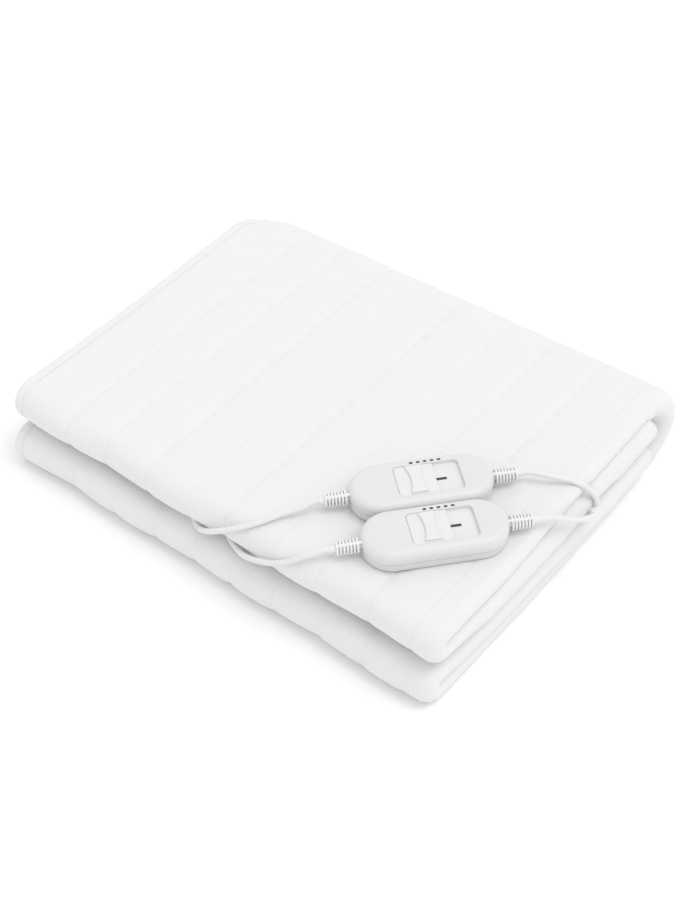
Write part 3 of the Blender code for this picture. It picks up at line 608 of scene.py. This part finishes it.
def quilted(channel, share, x, along, full, deep):
    """How far the cloth's face stands off its plain shape between and beside the seams."""
    if channel < 0:
        return 0.00025 * noise.noise((60 * x, 45 * along, 3.0))
    ends = abs(2 * share - 1)
    if channel == 0:
        # The hem is turned in twice, so it is a little thicker up to its seam
        return 0.0003 * (1 - ends**6) - 0.8 * deep * eased((share - 0.72) / 0.28) ** 2
    if channel == len(SEAMS) + 1 and share > 0.5:
        ends = 0.0
    away = (1 - ends) * CHANNEL_WIDTH / 2
    near = exp(-((away / PUCKER_REACH) ** 2))
    phase = 2.4 * channel if share < 0.5 else 2.4 * (channel + 1)
    shift = 2.0 * noise.noise((9 * along, phase, 0.5))
    wave = sin(tau * along / PUCKER_PITCH + phase + shift)
    rumple = noise.noise((22 * x, 19 * along, 7.0)) + 0.5 * noise.noise((55 * x, 48 * along, 1.0))
    seam = int(channel) - (1 if share < 0.5 else 0)
    hold = SEAM_DRAW[min(seam, len(SEAMS))]
    draw = hold * deep * (0.85 + 0.3 * noise.noise((6 * along, 1.7 * seam, 9.0)))
    return (
        full * (1 - ends**2.4) * (0.8 + 0.5 * noise.noise((8.0 * channel, 30 * along, 4.0)))
        - draw * ends**4
        - NOTCH_DEPTH * hold * exp(-((away / NOTCH_REACH) ** 2))
        + PUCKER_HEIGHT * hold * near * wave
        + RUMPLE * rumple * (0.35 + 0.65 * min(1.0, full / 0.0008))
    )


def controller_shade(x, y):
    """1 under and close round the two controllers, where the cloth lies flat, falling to 0."""
    nearest = 1.0
    for centre in CONTROLLERS.values():
        dx, dy = x - centre[0], y - centre[1]
        u = dx * cos(CONTROLLER_YAW) + dy * sin(CONTROLLER_YAW)
        v = -dx * sin(CONTROLLER_YAW) + dy * cos(CONTROLLER_YAW)
        u = max(abs(u) - REST_LENGTH, 0.0)
        nearest = min(nearest, max(hypot(u, v) - REST_HALF, 0.0) / REST_FADE)
    return 1 - eased(nearest)


cord_tree = kdtree.KDTree(len(cord_points))
for number, point in enumerate(cord_points):
    cord_tree.insert(Vector(point), number)
cord_tree.balance()

cloth_points, cloth_places, seam_rows = [], [], []
along, last_spot = 0.0, None
for panel, share, y, z, out, reach, loop, thick, drift, full, deep in strip_stations():
    to_back = {"front": 0.0, "back": 1.0}.get(panel, share)
    ring = strip_section(reach, at_share(LEFT_OUT, to_back), loop, thick, drift)
    middle_y = y
    if panel in ("upper", "lower"):
        middle_y = y + share * (end_y(z) - y)
    elif panel in ("top", "bottom"):
        middle_y = y + share * (BACK_FOLD_Y - y)
    if last_spot is not None:
        along += hypot(middle_y - last_spot[0], z - last_spot[1])
    last_spot = (middle_y, z)
    station, place, seams = [], [], []
    across = 0.0
    for number, (x, n, out_x, out_n, channel, part) in enumerate(ring):
        if number:
            across += hypot(x - ring[number - 1][0], n - ring[number - 1][1])
        if channel >= 1 and part == 0.0:
            seams.append(number)
        lift = quilted(channel, part, x, along, full, deep)
        if panel in ("top", "front") and z > MIDDLE_Z:
            lift -= controller_shade(x, middle_y) * max(lift - REST_LIFT, 0.0)
        if thick < CLOTH:
            lift = 0.0
        x, n = x + lift * out_x, n + lift * out_n
        spot_y, spot_z = y + out[0] * n, z + out[1] * n
        if panel in ("upper", "lower"):
            # Near the rim the ends stop short, clear of the wide roll of the back fold's own rim
            end = end_y(spot_z)
            short_end = min(end, BACK_FOLD_Y - RIM_SHORT)
            end += (short_end - end) * eased((x - INNER_EDGE) / RIM_EASE)
            spot_y += share * (end - spot_y)
        elif panel in ("top", "bottom"):
            spot_y += share * (BACK_FOLD_Y - spot_y)
        spot = Vector(sagged(x, spot_y, spot_z, panel))
        spot.z = max(spot.z, 0.0)
        # A lead presses into the cloth that it lies on
        nearest, _, away = cord_tree.find(spot)
        if away < LEAD_BED:
            spot = nearest + (spot - nearest).normalized() * LEAD_BED
        station.append(spot + PACK_MIDDLE)
        place.append(Vector((across, along, 0.0)))
    cloth_points.append(station)
    cloth_places.append(place)
    seam_rows.append(seams)

form = bmesh.new()
cloth_layer = form.verts.layers.float_vector.new("cloth_place")
rings = []
for station, place in zip(cloth_points, cloth_places):
    ring = [form.verts.new(spot) for spot in station]
    for corner, where in zip(ring, place):
        corner[cloth_layer] = where
    rings.append(ring)
for ring, after in zip(rings, rings[1:]):
    for k in range(len(ring)):
        form.faces.new((ring[k - 1], ring[k], after[k], after[k - 1]))
ends = [form.faces.new(rings[0]), form.faces.new(rings[-1])]
bmesh.ops.recalc_face_normals(form, faces=form.faces)
bmesh.ops.triangulate(form, faces=ends, ngon_method="EAR_CLIP")
blanket = formed("quilted_blanket", form)
blanket.data.shade_smooth()

brushed, cloth_shader, on_cloth = new_finish(
    "brushed_polyester",
    {"Sheen Weight": 0.25, "Sheen Roughness": 0.6, "Specular IOR Level": 0.2},
)
laid = on_cloth.add("ShaderNodeAttribute", {}, {"attribute_name": "cloth_place"}, "Vector")
fibre = laid.scaled((1.0, 0.35, 1.0)).grain(1500.0, 3.0)
nap, patch = laid.grain(420.0, 4.0), laid.grain(35.0, 2.0)
feed(
    cloth_shader,
    Base_Color=(0.45 * fibre + 0.35 * nap + 0.2 * patch).tint(CLOTH_SHADE, CLOTH_WHITE),
    Roughness=0.82 + 0.14 * nap,
    Normal=(0.6 * fibre + 0.8 * nap).bump(0.45, 0.00022),
)
blanket.data.materials.append(brushed)
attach(blanket, "pack")
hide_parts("blanket")

# ---------------------------------------------------------------- stitching
# White polyester thread along every channel seam and the hem, one lockstitch after another.
STITCHES = {"Pitch": 0.0032, "Length": 0.0022, "Thread": 0.00042}
THREAD_LIFT = 0.00012
THREAD_FLOOR = 0.0003


def new_tree(name, sizes):
    """An empty Geometry Nodes tree, whose inputs are its named sizes and its finish."""
    tree = bpy.data.node_groups.new(name, "GeometryNodeTree")
    sockets = tree.interface
    sockets.new_socket("Geometry", in_out="INPUT", socket_type="NodeSocketGeometry")
    for label, value in sizes.items():
        kind = "NodeSocketInt" if isinstance(value, int) else "NodeSocketFloat"
        sockets.new_socket(label, in_out="INPUT", socket_type=kind).default_value = value
    sockets.new_socket("Finish", in_out="INPUT", socket_type="NodeSocketMaterial")
    sockets.new_socket("Geometry", in_out="OUTPUT", socket_type="NodeSocketGeometry")
    return tree, tree.nodes.new("NodeGroupInput").outputs


def repeated(tree, given, inputs):
    """Ends a tree: a shape on each point, made real, with its finish."""
    rows = joined(tree, "GeometryNodeInstanceOnPoints", inputs)
    real = joined(tree, "GeometryNodeRealizeInstances", {"Geometry": rows.outputs[0]})
    look = joined(tree, "GeometryNodeSetMaterial", {
        "Geometry": real.outputs[0], "Material": given["Finish"],
    })
    joined(tree, "NodeGroupOutput", {"Geometry": look.outputs[0]})
    return tree


def grown(obj, tree, values, finish):
    """The plain mesh that a tree makes on an object, with its inputs set by their identifiers."""
    modifier = obj.modifiers.new(tree.name, "NODES")
    modifier.node_group = tree
    for item in tree.interface.items_tree:
        if item.in_out == "INPUT" and item.name != "Geometry":
            modifier[item.identifier] = {**values, "Finish": finish}[item.name]
    return settled(obj)


def settled(obj):
    """An object's evaluated mesh as a plain piece at the origin."""
    bpy.context.view_layer.update()
    graph = bpy.context.evaluated_depsgraph_get()
    mesh = bpy.data.meshes.new_from_object(obj.evaluated_get(graph), depsgraph=graph)
    mesh.name = name = obj.name
    bpy.data.objects.remove(obj, do_unlink=True)
    return shown(name, mesh)


def stitch_tree():
    tree, given = new_tree("stitches", STITCHES)
    line = joined(tree, "GeometryNodeMeshToCurve", {"Mesh": given["Geometry"]})
    spaced = {"Curve": line.outputs[0], "Length": given["Pitch"]}
    spots = joined(tree, "GeometryNodeCurveToPoints", spaced, {"mode": "LENGTH"})
    size = joined(tree, "ShaderNodeCombineXYZ", {
        "X": given["Thread"], "Y": given["Thread"], "Z": given["Length"],
    })
    bead = joined(tree, "GeometryNodeMeshIcoSphere", {"Radius": 0.5, "Subdivisions": 1})
    return repeated(tree, given, {
        "Points": spots.outputs["Points"], "Instance": bead.outputs["Mesh"],
        "Rotation": spots.outputs["Rotation"], "Scale": size.outputs[0],
    })


thread, thread_shader, thread_place = new_finish("polyester_thread", {"Sheen Weight": 0.2})
twist = thread_place.grain(3000.0, 2.0)
feed(
    thread_shader,
    Base_Color=twist.tint((0.76, 0.76, 0.76, 1.0), (0.83, 0.83, 0.825, 1.0)),
    Roughness=0.6 + 0.2 * twist,
)
seam_mesh = bpy.data.meshes.new("seam_lines")
corners, edges = [], []
for seam in range(len(seam_rows[0])):
    for number, (station, seams) in enumerate(zip(cloth_points, seam_rows)):
        here = station[seams[seam]]
        middle = station[seams[seam] - 1] + station[seams[seam] + 1]
        rise = middle / 2 - here
        corners.append(here + (rise.normalized() * THREAD_LIFT if rise.length > 1e-7 else rise))
        corners[-1].z = max(corners[-1].z, THREAD_FLOOR)
        if number:
            edges.append((len(corners) - 2, len(corners) - 1))
seam_mesh.from_pydata(corners, edges, [])
stitches = grown(shown("channel_stitches", seam_mesh), stitch_tree(), STITCHES, thread)
stitches.data.shade_smooth()
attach(stitches, "pack")

# ---------------------------------------------------------------- hand controllers
# Two satin ABS shells meet at a seam low on the side; the top one has a shallow recess with a
# slider in it, a printed level number on the recess's floor and five level dashes beside it.
CONTROLLER_SIZE = (0.120, 0.0515, 0.0200)
BASE_HEIGHT = 0.0082
# The base stands in from the top shell's edge, under a fine gap
BASE_INSET = 0.0006
SEAM_GAP = 0.0003
REST_Z = 0.0843
RECESS_SIZE = (0.0544, 0.0333, 0.0034)
RECESS_CORNER = 0.004
RECESS_ALONG = 0.0063
SLIDER_SIZE = (0.0325, RECESS_SIZE[1] - 0.0006, 0.0026)
SLIDER_CORNERS = (0.001, 0.0037, 0.0037, 0.001)
SLIDER_GAP = 0.0003
# The grip is waisted: length, half its width in the middle, how much wider its ends are, rise
GRIP_ACROSS, GRIP_WAIST, GRIP_FLARE, GRIP_RISE = 0.0300, 0.0044, 0.0028, 0.0022
GRIP_STEPS = 24
DASHES = {"Count": 5, "Pitch": 0.0058, "Length": 0.0034, "Width": 0.0021, "Corner": 0.0008}
# Where the printing is: the number and the first dash as shares of the recess's length
NUMBER_AT, FIRST_DASH_AT = 0.18, 0.20
DASHES_OFF_RECESS = 0.0022
NUMBER_SIZE, NUMBER_BOLD = 0.0115, 0.0008
PRINT_THICK = 0.00008
INK = (0.035, 0.035, 0.04, 1.0)
TOP_WHITE = (0.725, 0.725, 0.725, 1.0)
BASE_WHITE = (0.69, 0.69, 0.69, 1.0)
SLIDER_WHITE = (0.77, 0.77, 0.77, 1.0)


def rounded_outline(length, width, radii, steps, along=0.0):
    """Points round a rectangle, whose corner radii run from the far right corner anticlockwise."""
    points = []
    for k, radius in enumerate(radii):
        x = along + (length / 2 - radius) * (1 if k in (0, 3) else -1)
        y = (width / 2 - radius) * (1 if k in (0, 1) else -1)
        for step in range(steps + 1):
            angle = (k + step / steps) * pi / 2
            point = (x + radius * cos(angle), y + radius * sin(angle))
            if not points or dist(points[-1], point) > 1e-6:
                points.append(point)
    if dist(points[0], points[-1]) < 1e-6:
        points.pop()
    return points


def bevelled(form, edges, radius, steps):
    bmesh.ops.bevel(
        form, geom=edges, offset=radius, segments=steps, profile=0.5, affect="EDGES",
        clamp_overlap=True,
    )


def moulded_slab(name, outline, low, high, top_edge=(0.0, 1), bottom_edge=(0.0, 1)):
    """An outline raised between two heights, each rim rounded by a radius in some steps."""
    form = bmesh.new()
    floor = form.faces.new([form.verts.new((x, y, low)) for x, y in outline])
    raised = bmesh.ops.extrude_face_region(form, geom=[floor])["geom"]
    tops = [item for item in raised if isinstance(item, bmesh.types.BMVert)]
    bmesh.ops.translate(form, vec=(0, 0, high - low), verts=tops)
    bmesh.ops.recalc_face_normals(form, faces=form.faces)
    for level, (radius, steps) in ((high, top_edge), (low, bottom_edge)):
        if radius:
            rim = [e for e in form.edges if all(abs(v.co.z - level) < 1e-7 for v in e.verts)]
            bevelled(form, rim, radius, steps)
    return formed(name, form)


def combined(obj, other, operation):
    """Boolean of two solids, the second used up."""
    modifier = obj.modifiers.new(operation.lower(), "BOOLEAN")
    modifier.operation, modifier.object, modifier.solver = operation, other, "EXACT"
    piece = settled(obj)
    bpy.data.objects.remove(other, do_unlink=True)
    return piece


def soften(obj, chosen, radius, steps):
    """Rounds the sharp edges of a solid that a test picks by their two ends."""
    form = bmesh.new()
    form.from_mesh(obj.data)
    bmesh.ops.remove_doubles(form, verts=form.verts, dist=1e-6)
    sharp = [e for e in form.edges if len(e.link_faces) == 2 and e.calc_face_angle() > 0.6]
    bevelled(form, [e for e in sharp if chosen(*[v.co for v in e.verts])], radius, steps)
    bmesh.ops.recalc_face_normals(form, faces=form.faces)
    form.to_mesh(obj.data)
    form.free()


def satin_abs(name, colour, rough):
    """Injection-moulded ABS: fine spark-eroded grain, very slightly uneven gloss."""
    material, shader, place = new_finish(name, {"Specular IOR Level": 0.5})
    grain, flow = place.grain(3400.0, 2.0), place.grain(48.0, 2.0)
    feed(
        shader,
        Base_Color=(0.6 * flow + 0.4 * grain).tint(darker(colour, 0.96), colour),
        Roughness=rough - 0.05 + 0.1 * flow,
        Normal=grain.bump(0.22, 0.00005),
    )
    return material


def point_row(tree, given, axis):
    """Points in a row along an axis, a pitch apart."""
    step = joined(tree, "ShaderNodeCombineXYZ", {axis: given["Pitch"]})
    sizes = {"Count": given["Count"], "Offset": step.outputs[0]}
    return joined(tree, "GeometryNodeMeshLine", sizes).outputs[0]


def dash_tree():
    tree, given = new_tree("level_dashes", DASHES)
    sizes = {"Width": given["Length"], "Height": given["Width"]}
    edge = joined(tree, "GeometryNodeCurvePrimitiveQuadrilateral", sizes)
    rounded = joined(tree, "GeometryNodeFilletCurve", {
        "Curve": edge.outputs[0], "Radius": given["Corner"],
    })
    filled = joined(tree, "GeometryNodeFillCurve", {"Curve": rounded.outputs[0]})
    row = point_row(tree, given, "X")
    return repeated(tree, given, {"Points": row, "Instance": filled.outputs[0]})


shell_white = satin_abs("shell_abs", TOP_WHITE, 0.40)
slider_white_and_recess_light = satin_abs("slider_abs", SLIDER_WHITE, 0.34)
base_white = satin_abs("base_abs", BASE_WHITE, 0.46)
ink, ink_shader, ink_place = new_finish("pad_print_ink", {})
speck = ink_place.grain(1800.0, 3.0)
feed(ink_shader, Base_Color=speck.tint(INK, (0.07, 0.07, 0.075, 1.0)), Roughness=0.5 + 0.15 * speck)
dashes_tree = dash_tree()
for name, centre in CONTROLLERS.items():
    length, width, height = CONTROLLER_SIZE
    half = width / 2
    seat = Matrix.Translation(Vector((*centre, REST_Z)) + PACK_MIDDLE)
    seat @= Matrix.Rotation(CONTROLLER_YAW, 4, "Z")
    base_size = (length - 2 * BASE_INSET, width - 2 * BASE_INSET)
    base = moulded_slab(
        f"{name}_lower_shell", rounded_outline(*base_size, [half - BASE_INSET] * 4, 20),
        0.0, BASE_HEIGHT, (0.0010, 3), (0.0024, 5),
    )
    put(base, seat, base_white, "pack", "base_shell", f"{name}_base_shell")

    top = moulded_slab(
        f"{name}_upper_shell", rounded_outline(length, width, [half] * 4, 20),
        BASE_HEIGHT + SEAM_GAP, height, (0.0065, 10), (0.0010, 3),
    )
    floor_z = height - RECESS_SIZE[2]
    hollow = moulded_slab(
        "hollow", rounded_outline(*RECESS_SIZE[:2], [RECESS_CORNER] * 4, 10, RECESS_ALONG),
        floor_z, height + 0.01,
    )
    top = combined(top, hollow, "DIFFERENCE")
    soften(top, lambda a, b: min(a.z, b.z) > height - 1e-5, 0.00045, 3)
    soften(top, lambda a, b: max(abs(a.z - floor_z), abs(b.z - floor_z)) < 1e-5, 0.0004, 2)
    put(top, seat, shell_white, "pack", "top_shell", f"{name}_top_shell")
    # The recess's floor takes the slider's lighter white: painted light that lifts the shade
    # falling in the recess
    top.data.materials.append(slider_white_and_recess_light)
    for face in top.data.polygons:
        if face.normal.z > 0.9 and abs(face.center.z - REST_Z - floor_z) < 1e-4:
            face.material_index = 1

    slider_length, slider_width, slider_thick = SLIDER_SIZE
    plate = moulded_slab(
        f"{name}_switch_slider", rounded_outline(slider_length, slider_width, SLIDER_CORNERS, 6),
        0.0, slider_thick, (0.0004, 2),
    )
    side = []
    for k in range(GRIP_STEPS + 1):
        v = GRIP_ACROSS * (k / GRIP_STEPS - 0.5)
        side.append((GRIP_WAIST + GRIP_FLARE * (2 * v / GRIP_ACROSS) ** 2, v))
    grip_line = [(0.0002 + u, v) for u, v in side] + [(0.0002 - u, v) for u, v in reversed(side)]
    grip = moulded_slab("grip", grip_line, slider_thick / 2, slider_thick + GRIP_RISE, (0.0010, 4))
    plate = combined(plate, grip, "UNION")
    along = RECESS_ALONG - (RECESS_SIZE[0] - slider_length) / 2 + SLIDER_GAP
    slide = seat @ Matrix.Translation((along, 0.0, floor_z + SLIDER_GAP))
    put(plate, slide, slider_white_and_recess_light, f"{name}_switch", "slider", f"{name}_slider")

    # The level number is printed across the recess's floor, ahead of the slider
    words = bpy.data.curves.new(f"{name}_level_number", "FONT")
    words.body, words.align_x, words.align_y = "1", "CENTER", "CENTER"
    words.size, words.offset, words.extrude = NUMBER_SIZE, NUMBER_BOLD, PRINT_THICK / 2
    digit = settled(shown(f"{name}_level_number", words))
    spot = (RECESS_ALONG + NUMBER_AT * RECESS_SIZE[0], 0.0, floor_z + 0.00006)
    print_at = seat @ Matrix.Translation(spot) @ Matrix.Rotation(-pi / 2, 4, "Z")
    put(digit, print_at, ink, "pack", "top_shell")

    row = shown(f"{name}_level_dashes", bpy.data.meshes.new("dash_row"))
    thick = row.modifiers.new("print", "SOLIDIFY")
    thick.thickness, thick.offset = PRINT_THICK, 0.0
    dashes = grown(row, dashes_tree, DASHES, ink)
    first = RECESS_ALONG - FIRST_DASH_AT * RECESS_SIZE[0]
    spot = (first, RECESS_SIZE[1] / 2 + DASHES_OFF_RECESS, height + 0.00005)
    put(dashes, seat @ Matrix.Translation(spot), ink, "pack", "top_shell")

# ---------------------------------------------------------------- strain reliefs
# A tapered PVC sleeve is moulded on each lead where it leaves the shell. Seven ribs with deep slots
# between them let it bend, and two spines along it hold the ribs together.
RELIEF_LENGTH = 0.024
RIBBED_LENGTH = 0.0198
RELIEF_RADII = (0.0064, 0.0056)
RIB_COUNT = 7
RIB_THICK = 0.0016
RIB_PITCH = (RIBBED_LENGTH - RIB_THICK) / (RIB_COUNT - 0.3)
RIBS = {
    "Count": RIB_COUNT, "Pitch": RIB_PITCH, "Thickness": RIB_THICK,
    "First Radius": RELIEF_RADII[0], "Last Radius": RELIEF_RADII[1],
}
CORE_RADII = (0.0034, 0.0030)
CORE_ROOT = -0.004
SPINE_SIZE = (0.0062, 0.0026)
SPINE_ROOT = -0.003
SPINE_OFF_AXIS = 0.0030
SPINE_TURN = radians(20)
RELIEF_WHITE = (0.82, 0.82, 0.815, 1.0)


def rib_tree():
    tree, given = new_tree("relief_ribs", RIBS)
    sizes = {"Vertices": 40, "Radius": 1.0, "Depth": given["Thickness"]}
    disc = joined(tree, "GeometryNodeMeshCylinder", sizes)
    index = joined(tree, "GeometryNodeInputIndex")
    last = joined(tree, "ShaderNodeMath", {0: given["Count"], 1: 1.0}, {"operation": "SUBTRACT"})
    size = joined(tree, "ShaderNodeMapRange", {
        "Value": index.outputs[0], "From Max": last.outputs[0],
        "To Min": given["First Radius"], "To Max": given["Last Radius"],
    })
    wide = size.outputs[0]
    scale = joined(tree, "ShaderNodeCombineXYZ", {"X": wide, "Y": wide, "Z": 1.0})
    return repeated(tree, given, {
        "Points": point_row(tree, given, "Z"), "Instance": disc.outputs["Mesh"],
        "Scale": scale.outputs[0],
    })


def tapered_rod(name, radii, low, high, sides):
    """A round rod from one radius to another, closed at both ends."""
    form = bmesh.new()
    bmesh.ops.create_cone(
        form, cap_ends=True, segments=sides, radius1=radii[0], radius2=radii[1], depth=high - low
    )
    bmesh.ops.translate(form, vec=(0, 0, (high + low) / 2), verts=form.verts)
    return formed(name, form)


def on_ribs(a, b):
    """Whether an edge is on the ribs or spines, clear of the shell's wall and of the core."""
    return min(a.z, b.z) > 0.0002 and max(hypot(a.x, a.y), hypot(b.x, b.y)) > 0.0050


relief_pvc = soft_pvc("relief_pvc", RELIEF_WHITE)
ribs = grown(shown("ribs", bpy.data.meshes.new("ribs")), rib_tree(), RIBS, relief_pvc)
first_rib = RIBBED_LENGTH - RIB_THICK / 2 - RIB_PITCH * (RIB_COUNT - 1)
ribs.data.transform(Matrix.Translation((0.0, 0.0, first_rib)))
sleeve = combined(tapered_rod("sleeve", CORE_RADII, CORE_ROOT, RELIEF_LENGTH, 32), ribs, "UNION")
slope = atan((RELIEF_RADII[0] - RELIEF_RADII[1]) / RIBBED_LENGTH)
for side in (-1, 1):
    spine = moulded_slab(
        "spine", rounded_outline(*SPINE_SIZE, [0.0004] * 4, 2), SPINE_ROOT, RIBBED_LENGTH - 0.0004
    )
    lean = Matrix.Rotation(-side * slope, 4, "Y")
    spine.data.transform(Matrix.Translation((side * SPINE_OFF_AXIS, 0.0, 0.0)) @ lean)
    sleeve = combined(sleeve, spine, "UNION")
soften(sleeve, on_ribs, 0.00022, 2)
for name, centre in CONTROLLERS.items():
    for end, side in (("left", -1), ("right", 1)):
        turn = CONTROLLER_YAW + (pi if side < 0 else 0.0)
        tip, out = relief_tip(centre, side)
        root = tip - out * RELIEF_LENGTH + PACK_MIDDLE
        to = Matrix.Translation(root) @ Matrix.Rotation(turn, 4, "Z")
        to @= Matrix.Rotation(pi / 2, 4, "Y") @ Matrix.Rotation(side * SPINE_TURN, 4, "Z")
        piece = shown(f"{name}_{end}_strain_relief", sleeve.data.copy())
        put(piece, to, relief_pvc, "pack", "sleeve", f"{name}_{end}_relief")
bpy.data.objects.remove(sleeve, do_unlink=True)

# ---------------------------------------------------------------- plugs
# Each hank ends in a flat moulded two-pin plug; its body is one shot of white PVC over the lead's
# end, and the two round pins are nickel-plated brass.
plug_pvc = satin_abs("plug_pvc", (0.74, 0.74, 0.735, 1.0), 0.5)
nickel, nickel_shader, nickel_place = new_finish("nickel_plate", {"Metallic": 1.0})
worn = nickel_place.scaled((1.0, 1.0, 0.25)).grain(1400.0, 3.0)
feed(
    nickel_shader,
    Base_Color=worn.tint((0.62, 0.59, 0.53, 1.0), (0.76, 0.74, 0.70, 1.0)),
    Roughness=0.22 + 0.2 * worn,
    Normal=worn.bump(0.15, 0.00004),
)
for name in CONTROLLERS:
    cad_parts[f"{name}_plug"].material_slots[0].material = plug_pvc
    for pin in (1, 2):
        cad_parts[f"{name}_pin_{pin}"].material_slots[0].material = nickel

# ---------------------------------------------------------------- surface, light and camera
# The pack lies on a plain pale surface in a bright even room, under a large soft light from above
# and a weak one from the front left.
near, far = -4.0, 4.0
floor_mesh = bpy.data.meshes.new("pale_surface")
floor_mesh.from_pydata(
    [(near, near, 0), (far, near, 0), (far, far, 0), (near, far, 0)], [], [(0, 1, 2, 3)]
)
surface = shown("pale_surface", floor_mesh)
paint, paint_shader, paint_place = new_finish("pale_paint", {"Specular IOR Level": 0.1})
pale, paler = (0.955, 0.955, 0.955, 1.0), (0.965, 0.965, 0.965, 1.0)
feed(
    paint_shader,
    Base_Color=paint_place.grain(3.0).tint(pale, paler),
    Roughness=0.85 + 0.05 * paint_place.grain(40.0),
)
floor_mesh.materials.append(paint)

room = bpy.data.worlds.new("bright_room")
room.use_nodes = True
sky = room.node_tree.nodes["Background"].inputs
sky["Color"].default_value, sky["Strength"].default_value = (1.0, 1.0, 1.0, 1.0), 0.91
bpy.context.scene.world = room
for name, energy, spread, toward in (
    ("soft_overhead", 0.84, 35, (-0.36, -0.16, -0.92)), ("low_fill", 0.08, 60, (0.65, 0.62, -0.43)),
):
    lamp = bpy.data.lights.new(name, "SUN")
    lamp.energy, lamp.angle = energy, radians(spread)
    shown(name, lamp).rotation_euler = Vector(toward).to_track_quat("-Z", "Y").to_euler()

# Where the photograph was taken from, fitted to the pack's edges. Its frame is 920 pixels high
AZIMUTH, ELEVATION, DISTANCE = radians(37.904), radians(45.039), 1.496914
FRAME_HEIGHT, FOCAL_PIXELS, SHIFT_PIXELS = 920, 1647.877, (-1.914, -3.793)
look = Vector((-sin(AZIMUTH) * cos(ELEVATION), cos(AZIMUTH) * cos(ELEVATION), -sin(ELEVATION)))
camera = bpy.data.cameras.new("camera")
camera.sensor_width = 36.0
camera.lens = camera.sensor_width * FOCAL_PIXELS / FRAME_HEIGHT
camera.shift_x, camera.shift_y = (shift / FRAME_HEIGHT for shift in SHIFT_PIXELS)
camera_at = shown("camera", camera)
camera_at.location = PACK_MIDDLE - look * DISTANCE
camera_at.rotation_euler = look.to_track_quat("-Z", "Y").to_euler()
bpy.context.scene.camera = camera_at
bpy.context.scene.view_settings.view_transform = "Standard"
